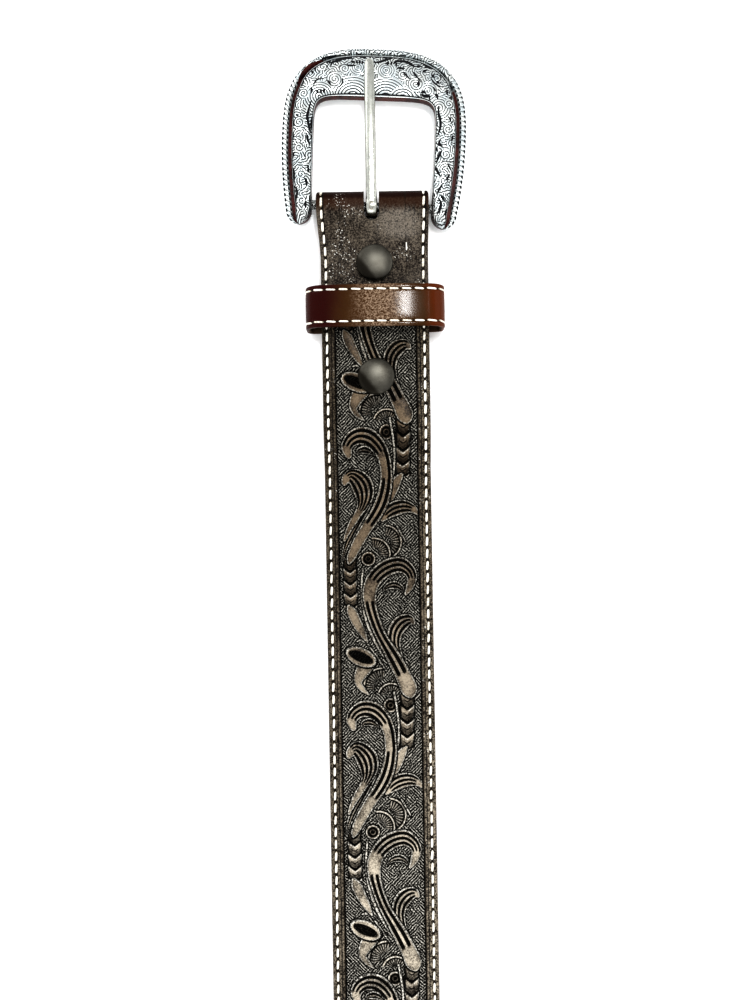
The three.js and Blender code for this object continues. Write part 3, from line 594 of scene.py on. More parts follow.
tooling = {
    "start": 78.1, "repeat": 97.83, "half": 14.5, "grid": 0.222, "level": -0.56, "relief": 0.62,
    "unevenness": 0.006,
    "stems": [
        {"name": "innerRidge", "height": 0.75, "combs": [],
         "rows": [(31, -2.7, 6), (37, 2.7, 6), (41, 8.2, 6), (41, 13.7, 6), (35, 19.2, 6), (26, 24.7, 6),
                  (13, 29.2, 5), (5, 32.9, 2)]},
        {"name": "calyx", "height": 0.7, "combs": [],
         "rows": [(45, 36.6, 4), (53, 38.8, 5), (63, 41.4, 5), (68, 43.0, 2)]},
        {"name": "sideRibs", "height": 0.85, "combs": [(-0.5, 5.5, -0.8, 0.8, 3)],
         "rows": [(-22, 27.9, 14), (-37, 31.5, 19), (-57, 36.6, 19), (-76, 41.8, 17), (-88, 46.6, 10),
                  (-91, 49.8, 4)]},
        {"name": "plume", "height": 1.0, "combs": [(3.2, 8.6, -0.9, 0.9, 5)],
         "rows": [(-85, 41.4, 8), (-76, 38.2, 14), (-63, 34.7, 19), (-49, 31.5, 20), (-38, 28.3, 30),
                  (-34, 24.9, 46), (-39, 21.5, 55), (-52, 18.8, 46), (-66, 17.7, 32), (-79, 19.2, 23),
                  (-83, 20.7, 12)]},
        {"name": "petalRight", "height": 0.95, "combs": [],
         "rows": [(59, 17.6, 9), (47, 20.1, 23), (38, 23.8, 20), (25, 27.9, 16), (11, 32, 12), (1, 35, 5)]},
        {"name": "curlRight", "height": 1.0, "combs": [(0.4, 3.9, -0.8, 0.9, 4)],
         "rows": [(9, 34.2, 11), (25, 31.5, 31), (45, 29.9, 38), (67, 29.5, 32), (86, 30.5, 20),
                  (99, 32.5, 7)]},
        {"name": "scrollLeft", "height": 1.0,
         "combs": [(3.1, 7.0, -0.85, 0.85, 3), (6.6, 9.5, -0.9, -0.1, 2), (9.1, 14.0, -0.88, 0.9, 4)],
         "rows": [(-75, 49.8, 9), (-69, 47.5, 22), (-52, 42.5, 28), (-30, 37.1, 29), (-8, 32.4, 32),
                  (8, 27.9, 34), (18, 22.8, 32), (21, 18.3, 30), (19, 13.7, 30), (13, 9.8, 33), (-2, 6.2, 39),
                  (-21, 3.9, 43), (-44, 3.3, 41), (-64, 4.6, 35), (-75, 7.2, 28), (-71, 10.1, 17)]},
        {"name": "ridgeLeft", "height": 0.75, "combs": [],
         "rows": [(-41, 52.1, 5), (-44, 56.7, 6), (-44, 61.2, 7), (-41, 66.3, 7), (-34, 71.3, 7),
                  (-22, 76.3, 7), (-7, 80.9, 6), (7, 84.5, 4)]},
        {"name": "ribBelow", "height": 0.7, "combs": [],
         "rows": [(-38, 78.6, 3), (-19, 82.3, 5), (-1, 86.4, 5), (14, 89.6, 3)]},
        {"name": "curlLoop", "height": 0.7, "combs": [],
         "rows": [(-59, 78.6, 3), (-47, 78.2, 6), (-37, 79.1, 5), (-25, 80.4, 2)]},
        {"name": "petalLeft", "height": 0.95, "combs": [],
         "rows": [(-77, 65.7, 10), (-69, 68.2, 26), (-58, 71.8, 25), (-45, 75.4, 19), (-33, 78.8, 6)]},
        {"name": "hookRight", "height": 1.0, "combs": [(1.6, 6.3, -0.86, 0.86, 4)],
         "rows": [(59, 90, 6), (52, 86.4, 14), (41, 82.8, 22), (34, 78.8, 31), (38, 74.9, 39), (53, 72, 39),
                  (71, 70.9, 26), (83, 72.2, 9)]},
        {"name": "curlInLeft", "height": 0.8, "combs": [(-0.5, 4.5, -0.8, 0.8, 3)],
         "rows": [(-49, 9.8, 5), (-44, 8.5, 15), (-30, 8.2, 21), (-16, 9.1, 13), (-8, 10.3, 4)]},
        {"name": "curlInRight", "height": 0.8, "combs": [(-0.5, 4.5, -0.8, 0.8, 3)],
         "rows": [(9, 60.2, 5), (19, 58.7, 15), (36, 58.1, 21), (51, 59, 15), (59, 60.8, 5)]},
        {"name": "leafStalk", "height": 0.95, "combs": [],
         "rows": [(-21, 85.9, 26), (-38, 87.8, 37), (-52, 90.9, 30), (-57, 93.7, 19), (-46, 96.2, 14),
                  (-30, 98.3, 4)]},
        {"name": "scrollRight", "height": 1.0,
         "combs": [(2.8, 6.4, -0.85, 0.85, 3), (6.0, 9.3, -0.85, 0.85, 3), (11.0, 16.2, -0.88, 0.88, 4)],
         "rows": [(72, 98.3, 19), (68, 96.2, 41), (61, 93.5, 41), (52, 90.7, 39), (36, 85.9, 37),
                  (19, 81.4, 32), (3, 77.2, 28), (-9, 73.1, 28), (-19, 68.6, 29), (-25, 64.4, 32),
                  (-25, 60.3, 36), (-17, 56.7, 38), (1, 53.5, 41), (26, 51.3, 42), (52, 50.8, 40),
                  (72, 52.7, 32), (80, 55.5, 26), (74, 59, 19), (64, 61.5, 8)]},
    ],
    "leafLoop": {"across": -49, "along": 84.3, "outer": (5.9, 3.3), "hollow": (4.3, 1.6), "turn": 24},
    "fans": [
        {"across": 14, "along": 42.3, "radius": 6.26, "from": -85, "to": 70, "rays": 12},
        {"across": -12, "along": 46.6, "radius": 5.9, "from": -100, "to": 15, "rays": 10},
        {"across": 2, "along": 95.1, "radius": 6.8, "from": 165, "to": 282, "rays": 11},
        {"across": 24, "along": 98.9, "radius": 5.01, "from": 195, "to": 320, "rays": 9},
    ],
    "berries": [{"across": -27, "along": 48.4, "radius": 2.6}, {"across": 22, "along": 102.1, "radius": 2.6}],
    "chevrons": [
        {"from": (65, -7.8), "to": (61, 18.4), "width": 37, "pitch": 5.0},
        {"from": (-73, 47.2), "to": (-72, 66.2), "width": 35, "pitch": 4.4},
    ],
}


class Carving:
    # A sheet of heights from 0, the ground, to 1, the raised work. x is across in mm and down is the
    # distance behind the bar.

    def __init__(self, x, down):
        self.x, self.down = x, down
        self.height = np.zeros_like(x)
        self.cut = np.zeros_like(x)
        # Painted highlights along edges and ridges, laid into the colour
        self.glint = np.zeros_like(x)
        self.outline = 0.46

    def near(self, low, high):
        return (self.x > low[0]) & (self.x < high[0]) & (self.down > low[1]) & (self.down < high[1])

    def sinkOutside(self, part, away):
        # A line of shade just outside a form, where the beveller pushed the ground down
        ring = (away > 0) & (away < self.outline)
        height, cut = self.height[part], self.cut[part]
        shade = smoothStep(1.6 * (1 - away[ring] / self.outline))
        height[ring] = height[ring] * (1 - shade) - 0.35 * shade
        cut[ring] = np.maximum(cut[ring], shade)
        self.height[part], self.cut[part] = height, cut
        # A painted highlight just inside the form's edge
        glint = self.glint[part]
        within = away <= 0
        glint[within] = smoothStep(1.3 - np.abs(away[within] + 0.27) / 0.2)
        glint[ring] *= 1 - shade
        self.glint[part] = glint

    def lay(self, part, inside, values, cutValues, sheen=None):
        height, cut, glint = self.height[part], self.cut[part], self.glint[part]
        height[inside] = values[inside]
        cut[inside] = np.clip(cutValues[inside], 0, 1)
        if sheen is not None:
            glint[inside] = np.maximum(glint, sheen)[inside]
        self.height[part], self.cut[part], self.glint[part] = height, cut, glint

    def stem(self, samples, counts, height, combs):
        part = self.near(samples[:, :2].min(0) - 5, samples[:, :2].max(0) + 5)
        if not part.any():
            return
        px, py = self.x[part], self.down[part]
        reach = np.hypot(px[:, None] - samples[None, :, 0], py[:, None] - samples[None, :, 1])
        nearest = (reach - samples[None, :, 2] / 2).argmin(1)
        tangent = np.gradient(samples[:, :2], axis=0)
        tangent /= np.linalg.norm(tangent, axis=1)[:, None] + 1e-9
        offset = ((px - samples[nearest, 0]) * tangent[nearest, 1]
                  - (py - samples[nearest, 1]) * tangent[nearest, 0])
        half = samples[nearest, 2] / 2
        inside = half - reach[np.arange(len(px)), nearest]
        side = np.clip(offset / np.maximum(half, 0.05), -1, 1)
        crown = 0.35 * smoothStep(inside / 0.8) + 0.65 * np.sqrt(np.clip(1 - 0.95 * side ** 2, 0, 1))
        profile = height * crown * smoothStep(inside / 0.22)
        place = counts[nearest]
        groove = np.zeros_like(profile)
        sheen = np.zeros_like(profile)
        for first, last, low, high, ridges in combs:
            fade = smoothStep((place - first) / 0.45) * smoothStep((last - place) / 0.45)
            share = (side - low) / (high - low)
            wave = 0.5 + 0.5 * np.cos(2 * math.pi * (ridges - 1) * np.clip(share, 0, 1))
            dark = smoothStep((0.70 - wave) / 0.36)
            groove = np.maximum(groove, fade * dark)
            # A painted highlight along each ridge of the comb
            sheen = np.maximum(sheen, 0.6 * fade * smoothStep(1.3 - np.abs(wave - 0.82) / 0.09))
        profile = profile * (1 - groove) - 0.3 * groove
        self.sinkOutside(part, -inside)
        self.lay(part, inside > 0, profile, groove, sheen)

    def fan(self, centre, radius, start, end, rays):
        part = self.near(centre - radius - 1, centre + radius + 1)
        dx, dy = self.x[part] - centre[0], self.down[part] - centre[1]
        reach = np.hypot(dx, dy)
        angle = (np.degrees(np.arctan2(dy, dx)) - start) % 360
        span = end - start
        wedge = angle < span
        ray = 0.5 - 0.5 * np.cos(angle / span * rays * 2 * math.pi)
        body = 0.8 * smoothStep((ray - 0.3) / 0.4) * smoothStep((reach / radius - 0.3) / 0.15)
        rim = smoothStep(1.4 - np.abs(reach - radius + 0.34) / 0.36)
        gap = smoothStep(1.3 - np.abs(reach - radius + 0.92) / 0.26)
        height = np.maximum(body * (1 - gap), 0.95 * rim) - 0.1
        cut = 0.9 * (1 - smoothStep((ray - 0.1) / 0.4)) * (1 - rim) + gap
        self.sinkOutside(part, np.where(wedge, reach - radius, -1))
        # Painted highlights on the rays and along the rim
        rimSheen = 0.85 * smoothStep(1.3 - np.abs(reach - radius + 0.3) / 0.2)
        sheen = np.maximum(0.5 * body * (1 - gap), rimSheen)
        self.lay(part, wedge & (reach < radius) & (reach > radius * 0.14), height, cut, sheen)

    def berry(self, centre, radius):
        part = self.near(centre - radius - 1, centre + radius + 1)
        reach = np.hypot(self.x[part] - centre[0], self.down[part] - centre[1])
        rim = smoothStep(1.4 - np.abs(reach - radius + 0.42) / 0.42)
        seed = smoothStep(1.4 - np.abs(reach - radius * 0.34) / 0.3)
        height = np.maximum(0.95 * rim, 0.8 * seed) - 0.15
        self.sinkOutside(part, reach - radius)
        self.lay(part, reach < radius, height, 1 - np.maximum(rim, seed))

    def loop(self, centre, outer, hollow, turn):
        size = max(outer) + 1
        part = self.near(centre - size, centre + size)
        dx, dy = self.x[part] - centre[0], self.down[part] - centre[1]
        c, s = math.cos(math.radians(turn)), math.sin(math.radians(turn))
        u, v = dx * c + dy * s, dy * c - dx * s
        outside = np.hypot(u / outer[0], v / outer[1])
        inside = np.hypot(u / hollow[0], v / hollow[1])
        wall = smoothStep((1 - outside) * 7) * smoothStep((inside - 1) * 4 + 0.2)
        core = smoothStep(1.2 - np.abs(v) / 0.34) * smoothStep((0.7 - np.abs(u) / hollow[0]) * 4)
        hole = inside < 1
        height = 1.02 * wall - 0.3 * hole * (1 - core) + 0.4 * core * hole
        self.sinkOutside(part, (outside - 1) * outer[1])
        self.lay(part, outside < 1, height, hole * (1 - 0.7 * core))

    def chevrons(self, first, last, width, pitch):
        low = np.minimum(first, last) - [width, 1]
        high = np.maximum(first, last) + [width, 1]
        part = self.near(low, high)
        share = (self.down[part] - first[1]) / (last[1] - first[1])
        dx = self.x[part] - first[0] - (last[0] - first[0]) * share
        half = width / 2
        phase = (self.down[part] - last[1] + 0.85 * np.hypot(dx, 0.35)) / pitch
        wave = phase - np.floor(phase)
        bulge = half * (0.86 + 0.14 * np.sin(np.pi * wave))
        inside = (share > 0) & (share < 1) & (np.abs(dx) < bulge)
        rounded = smoothStep((1 - np.abs(dx) / bulge) * 3.5)
        black = smoothStep(1.35 - np.abs(wave - 0.13) / 0.11)
        inner = smoothStep(1.3 - np.abs(wave - 0.62) / 0.05) * smoothStep((1 - np.abs(dx) / half) * 2.2 - 0.6)
        body = 0.95 - 0.35 * smoothStep((wave - 0.35) / 0.6)
        height = body * rounded * (1 - black) - 0.3 * black - 0.4 * inner
        self.sinkOutside(part, np.where((share > 0) & (share < 1), np.abs(dx) - bulge, -1))
        shade = 0.42 * smoothStep((wave - 0.4) / 0.45)
        shade = np.maximum(np.maximum(black, 0.8 * inner), shade) + 0.4 * (1 - rounded)
        # A painted highlight runs along each mark just behind its black cut
        self.lay(part, inside, height, shade, smoothStep(1.3 - np.abs(wave - 0.31) / 0.055))


def carve(x, down):
    t = tooling
    sheet = Carving(x, down)
    spot = lambda across, along, start: np.array([across / 100 * t["half"],
                                                  start + along / 100 * t["repeat"]])
    first = math.floor((down.min() - t["start"]) / t["repeat"]) - 1
    last = math.ceil((down.max() - t["start"]) / t["repeat"]) + 1
    starts = [t["start"] + number * t["repeat"] for number in range(first, last + 1)]
    for start in starts:
        for row in t["chevrons"]:
            sheet.chevrons(spot(*row["from"], start), spot(*row["to"], start),
                           row["width"] / 100 * t["half"], row["pitch"])
    for start in starts:
        for fan in t["fans"]:
            centre = spot(fan["across"], fan["along"], start)
            sheet.fan(centre, fan["radius"], fan["from"], fan["to"], fan["rays"])
    for start in starts:
        for stem in t["stems"]:
            samples, counts = splinePath(stem["rows"], 14)
            samples = samples * [t["half"] / 100, t["repeat"] / 100, t["half"] / 100] + [0, start, 0]
            sheet.stem(samples, counts, stem["height"], stem["combs"])
        leaf = t["leafLoop"]
        sheet.loop(spot(leaf["across"], leaf["along"], start), leaf["outer"], leaf["hollow"], leaf["turn"])
        for berry in t["berries"]:
            sheet.berry(spot(berry["across"], berry["along"], start), berry["radius"])
    return sheet


def makeField():
    t, l = tooling, leather
    inner = l["border"]
    turn = np.linspace(0, math.pi / 2, 400)
    tipX, tipDown = l["halfWidth"] * np.cos(turn), l["tipLength"] * np.sin(turn)
    outX, outDown = np.cos(turn) / l["halfWidth"], np.sin(turn) / l["tipLength"]
    size = np.hypot(outX, outDown)
    inTipX, inTipDown = tipX - inner * outX / size, tipDown - inner * outDown / size
    end = l["shownLength"] + inTipDown.max()
    backs = np.linspace(l["fieldStart"], end, int((end - l["fieldStart"]) / t["grid"]))
    halves = np.where(backs < l["shownLength"] + inTipDown[0], inTipX[0],
                      np.interp(backs - l["shownLength"], inTipDown, inTipX))
    columns = int(2 * inTipX[0] / t["grid"])
    shares = np.linspace(-1, 1, columns)
    x = halves[:, None] * shares[None, :]
    down = np.repeat(backs[:, None], columns, axis=1)
    sheet = carve(x.ravel(), down.ravel())
    height, cut, glint = sheet.height, sheet.cut, sheet.glint
    toEdge = np.minimum((halves[:, None] * (1 - np.abs(shares[None, :]))).ravel(), (end - down).ravel())
    toEdge = np.minimum(toEdge, (down - l["fieldStart"]).ravel())
    shade = 1 - smoothStep((toEdge - 0.15) / 0.6)
    height = height * (1 - shade) - 0.3 * shade
    cut = np.maximum(cut, shade)
    run = runOfBack(down.ravel())
    lift = alongLeather(run, "thick") / 2 + t["level"] + t["relief"] * height
    lift += rng.normal(0, t["unevenness"], len(height))
    points = onLeather(x.ravel(), run, lift).reshape(len(backs), columns, 3)
    marks = {"raised": np.clip(height, 0, 1).reshape(len(backs), columns),
             "cut": np.clip(cut, 0, 1).reshape(len(backs), columns),
             "glint": (glint * (1 - shade)).reshape(len(backs), columns)}
    lower = barRow - snaps["places"]["snap_lower"]
    middle = len(backs) // 2
    pieces = []
    for name, rows in (("tooledFieldUpper", slice(0, middle + 1)), ("tooledFieldLower", slice(middle, None))):
        part = points[rows]
        faces = gridFaces(part.shape[0], columns, False)[:, ::-1]
        part = part.reshape(-1, 3)
        clear = np.hypot(part[:, 0], part[:, 1] - lower) > snaps["holeRadius"]
        faces = faces[clear[faces].all(axis=1)]
        pieces.append(makePiece(name, part, faces.tolist(), tooledLook,
                                {key: values[rows].ravel() for key, values in marks.items()}))
    return pieces


for tooledField in makeField():
    settle(tooledField, "belt", "tooled_leather", "strap")
    print(tooledField.name, len(tooledField.data.polygons), "faces")


# Stitching

sewing = {"pitch": 4.33, "length": 3.65, "radius": 0.47, "rise": 0.12, "sides": 8, "rings": 9, "twist": 0.55,
          "lean": 0.06, "holeSides": 10, "holeHalfLength": 0.45, "holeHalfWidth": 0.74, "holeRise": 0.03,
          "holeDepth": 0.4}


def sewHole(holes, spot, out, lie, size):
    # The awl's hole as painted shade: a dark oval plug that stands just above the leather
    s, sides = sewing, sewing["holeSides"]
    lie = lie / np.linalg.norm(lie)
    turn = 2 * math.pi * np.arange(sides) / sides
    oval = (s["holeHalfLength"] * np.cos(turn)[:, None] * lie
            + s["holeHalfWidth"] * size * np.sin(turn)[:, None] * np.cross(lie, out))
    top = spot + s["holeRise"] * out + oval
    base = sum(len(part) for part in holes["points"])
    holes["points"].append(np.vstack([top, top - s["holeDepth"] * out]))
    holes["faces"].append([list(range(base, base + sides)),
                           list(range(base + 2 * sides - 1, base + sides - 1, -1))] + [
        [base + k, base + sides + k, base + sides + (k + 1) % sides, base + (k + 1) % sides]
        for k in range(sides)])


def sewRow(path, normals, stitches, holes, size):
    # Stitches along a path on the leather, and the awl's holes between them, as points and faces
    s = sewing
    lengths = np.concatenate([[0], np.cumsum(np.linalg.norm(np.diff(path, axis=0), axis=1))])
    at = lambda spot, rows: np.array([np.interp(spot, lengths, rows[:, k]) for k in range(3)])
    count = max(1, int(round(lengths[-1] / s["pitch"])))
    pitch = lengths[-1] / count
    for number in range(count):
        middle = (number + 0.5) * pitch
        half = s["length"] / 2 * (1 + rng.uniform(-0.05, 0.05)) * pitch / s["pitch"]
        centre, before, after = at(middle, path), at(middle - half, path), at(middle + half, path)
        along = after - before
        along /= np.linalg.norm(along)
        up = at(middle, normals)
        up -= along * (up @ along)
        up /= np.linalg.norm(up)
        side = np.cross(along, up)
        along = along + side * (s["lean"] + rng.uniform(-0.04, 0.04))
        radius = s["radius"] * size * (1 + rng.uniform(-0.08, 0.08))
        tone = rng.uniform(0.25, 0.75)
        u = np.sin(np.linspace(-math.pi / 2, math.pi / 2, s["rings"]))
        turn = -math.pi / 2 + 2 * math.pi * np.arange(s["sides"]) / s["sides"]
        swell = radius * np.clip(1 - np.abs(u) ** 6, 0.02, 1) ** 0.5
        spine = centre + np.outer(u * half, along) + np.outer(s["rise"] - 0.42 * np.abs(u) ** 5, up)
        ringSide = np.cos(turn)[None, :, None] * side
        ringUp = 0.8 * np.sin(turn)[None, :, None] * up
        rings = spine[:, None, :] + swell[:, None, None] * (ringSide + ringUp)
        base = sum(len(part) for part in stitches["points"])
        stitches["points"].append(rings.reshape(-1, 3))
        stitches["faces"].append(gridFaces(s["rings"], s["sides"], True) + base)
        ply = (u[:, None] * half / s["twist"] / 2 + turn[None, :] / (2 * math.pi))
        stitches["ply"].append(ply.ravel())
        stitches["tone"].append(np.full(ply.size, tone) - 0.35 * np.repeat(np.abs(u) ** 4, s["sides"]))
        sewHole(holes, at(number * pitch, path), at(number * pitch, normals),
                at(number * pitch + 0.3, path) - at(max(number * pitch - 0.3, 0), path), size)


def stitchPieces(threadName, holeName, rows, size):
    stitches = {"points": [], "faces": [], "ply": [], "tone": []}
    holes = {"points": [], "faces": []}
    for path, normals in rows:
        sewRow(path, normals, stitches, holes, size)
    marks = {key: np.concatenate(stitches[key]) for key in ("ply", "tone")}
    faces = np.vstack(stitches["faces"]).tolist()
    sewn = makePiece(threadName, np.vstack(stitches["points"]), faces, threadLook, marks)
    faces = [face for part in holes["faces"] for face in part]
    return sewn, makePiece(holeName, np.vstack(holes["points"]), faces, holeShadeLook)


def strapSeams():
    inset, sunk = leather["stitchInset"], leather["stitchSunk"]
    runs = np.arange(1.6, tipRun, 0.4)
    x, run, inX, inL = leatherOutline(runs, 60)
    seamX, seamRun = x + inX * inset, run + inL * inset
    seamX = np.concatenate([seamX, -seamX[-2::-1]])
    seamRun = np.concatenate([seamRun, seamRun[-2::-1]])
    thick = alongLeather(seamRun, "thick")
    rows = []
    grain = np.column_stack([np.zeros(len(seamRun)), alongLeather(seamRun, "grainY"),
                             alongLeather(seamRun, "grainZ")])
    rows.append((onLeather(seamX, seamRun, thick / 2 - sunk), grain))
    below = seamRun > runOfBack(leather["flapLength"] + 4)
    rows.append((onLeather(seamX, seamRun, 0.62 - thick / 2)[below], -grain[below]))
    return rows


strapStitches, strapHoles = stitchPieces("strapStitches", "strapAwlHoleShade", strapSeams(), 0.95)
for sewn in (strapStitches, strapHoles):
    settle(sewn, "belt", "tooled_leather")
print("strap seams", len(strapStitches.data.polygons), "faces")


# Keeper

keeper = {"place": 36.9, "band": 14.6, "halfWidth": 24.5, "wall": 1.8, "corner": 6.0, "floorCorner": 3.0,
          "arch": 0.8, "top": 14.1, "seamInset": 1.75}


def keeperFinish():
    # Polished red-brown leather with a painted reflection lighter along the middle, darker red towards the
    # left side and orange-red at the right, with a hard clear gloss
    f = Finish("keeperLeather", coatRoughness=0.1, specularIorLevel=0.02)
    fleck = f.noise(0.5, 3.0, 0.8)
    cloud = f.noise(7.0, 3.0)
    wave = (cloud - 0.5) * 6.0
    # Painted reflection: the middle of the loop is painted lighter, broken up by the grain
    wearAndSheen = (1.0 - f.ease(f.maths("ABSOLUTE", f.x - 2.0 + wave), 1.0, 13.0)) * f.ease(fleck, 0.42, 0.63)
    olive = f.ease(f.x + wave, -18.0, -9.0)
    russet = f.ease(f.x + wave, 16.0, 21.0)
    base = f.mixed((0.026, 0.0016, 0.0006), (0.046, 0.019, 0.004), olive)
    base = f.mixed(base, (0.088, 0.019, 0.002), russet)
    colour = f.mixed(base, (0.36, 0.27, 0.195), wearAndSheen * 0.85)
    inside = f.mark("inside")
    colour = f.mixed(colour, (0.055, 0.034, 0.022), f.ease(inside, 0.4, 0.6))
    # Painted shade along the stitch grooves
    colour = f.mixed(colour, (0.012, 0.005, 0.003), f.ease(f.mark("groove"), 0.3, 1.0) * 0.7)
    roughness = 0.34 + (fleck - 0.5) * 0.22 + inside * 0.35
    coat = 0.19 - inside * 0.18
    creases = f.bump(f.noise(2.4, 3.0, 0.6), 0.12)
    normal = leatherGrain(f, 0.5, 0.1, creases)
    return f.feed(colour=colour, roughness=roughness, coat=coat, normal=normal)


def keeperPath(count):
    # The loop's outside from the middle of the floor round to the left, as x, z and the way outwards
    k = keeper
    half, top = k["halfWidth"], k["top"]
    x = [np.linspace(0, half - k["floorCorner"], 26)]
    z = [np.zeros(26)]
    turn = np.radians(np.linspace(-90, 0, 16))
    x.append(half - k["floorCorner"] + k["floorCorner"] * np.cos(turn))
    z.append(k["floorCorner"] + k["floorCorner"] * np.sin(turn))
    turn = np.radians(np.linspace(0, 90, 26))
    x.append(half - k["corner"] + k["corner"] * np.cos(turn))
    z.append(top - k["corner"] + k["corner"] * np.sin(turn))
    s = np.linspace(0, 0.5, 40)
    x.append((half - k["corner"]) * (1 - 2 * s))
    z.append(top + 4 * k["arch"] * s * (1 - s))
    x, z = np.concatenate(x), np.concatenate(z)
    run = np.concatenate([[0], np.cumsum(np.hypot(np.diff(x), np.diff(z)))])
    even = np.linspace(0, run[-1], count)
    x, z = np.interp(even, run, x), np.interp(even, run, z)
    alongX, alongZ = np.gradient(x), np.gradient(z)
    size = np.hypot(alongX, alongZ)
    outX, outZ = alongZ / size, -alongX / size
    outX[0], outZ[0], outX[-1], outZ[-1] = 0, -1, 0, 1
    mirror = slice(-2, 0, -1)
    return (np.concatenate([x, -x[mirror]]), np.concatenate([z, z[mirror]]),
            np.concatenate([outX, -outX[mirror]]), np.concatenate([outZ, outZ[mirror]]))


def makeKeeper():
    k = keeper
    x, z, outX, outZ = keeperPath(150)
    half, wall, inset, round_ = k["band"] / 2, k["wall"], k["seamInset"], 0.55
    outside = [(0, 0.0), (half - inset - 0.9, 0.0), (half - inset - 0.55, -0.03), (half - inset - 0.25, -0.2),
               (half - inset, -0.26), (half - inset + 0.25, -0.2), (half - inset + 0.55, -0.02),
               (half - inset + 0.8, 0.0)]
    for angle in np.radians(np.linspace(10, 90, 6)):
        outside.append((half - round_ * (1 - math.sin(angle)), -round_ * (1 - math.cos(angle))))
    inner = [(half, -wall + 0.4), (half - 0.12, -wall + 0.12), (half - 0.4, -wall), (half * 0.5, -wall),
             (0, -wall)]
    right = np.array(outside + inner)
    left = right[-2:0:-1] * [-1, 1]
    section = np.vstack([right, left])
    waver = 0.12 * np.sin(np.linspace(0, 2 * math.pi, len(x), endpoint=False) * 3 + 0.7)
    points = np.stack([
        x[:, None] + outX[:, None] * section[None, :, 1],
        barRow - k["place"] + section[None, :, 0] * (1 - 0.004 * np.abs(waver[:, None])) + 0 * x[:, None],
        z[:, None] + outZ[:, None] * section[None, :, 1],
    ], axis=-1)
    inside = np.tile((section[:, 1] < -wall * 0.55).astype(float), len(x))
    groove = np.tile(np.clip((-section[:, 1]) / 0.26, 0, 1) * (section[:, 1] > -0.3)
                     * (np.abs(np.abs(section[:, 0]) - (half - inset)) < 0.5), len(x))
    faces = gridFaces(len(x), len(section), True, True)
    loop = makePiece("keeperLoop", points.reshape(-1, 3), faces, keeperFinish(),
                     {"inside": inside, "groove": groove}, weld=True)
    rows = []
    for side in (-1, 1):
        path = np.stack([x - 0.24 * outX, np.full(len(x), barRow - k["place"] + side * (half - inset)),
                         z - 0.24 * outZ], axis=1)
        normals = np.stack([outX, np.zeros(len(x)), outZ], axis=1)
        loose = np.flatnonzero(z > 0.6)
        rows.append((path[loose], normals[loose]))
    return loop, rows


keeperLoop, keeperSeams = makeKeeper()
settle(keeperLoop, "belt", "gloss_leather", "keeper")
for sewn in stitchPieces("keeperStitches", "keeperAwlHoleShade", keeperSeams, 0.72):
    settle(sewn, "belt", "gloss_leather")
print("keeper", len(keeperLoop.data.polygons), "faces")


# Snaps


def gunmetalFinish():
    # Blackened brass with a satin brushed face, a little brighter where it has rubbed at the rims, with a
    # painted highlight on the upper middle of each dome and painted shade on its lower left
    f = Finish("gunmetal", metallic=1.0)
    fleck = f.noise(0.35, 3.0, 0.7)
    cloud = f.noise(4.0, 2.0)
    colour = f.mixed((0.046, 0.043, 0.036), (0.086, 0.082, 0.071),
                     f.ease(cloud * 0.6 + fleck * 0.4, 0.3, 0.7))
    # A painted highlight on the upper middle of the dome and painted shade on its lower left
    colour = f.mixed(colour, (0.13, 0.125, 0.108), f.mark("domeHighlight") * (0.6 + fleck * 0.8))
    colour = f.mixed(colour, (0.016, 0.014, 0.011), f.mark("domeShade") * 0.9)
    wearAndSheen = f.mark("rim")
    colour = f.mixed(colour, (0.32, 0.31, 0.27), f.ease(wearAndSheen + (fleck - 0.5) * 0.5, 0.55, 1.0) * 0.7)
    roughness = 0.40 + (fleck - 0.5) * 0.12
    return f.feed(colour=colour, roughness=roughness, normal=f.bump(fleck, 0.012))


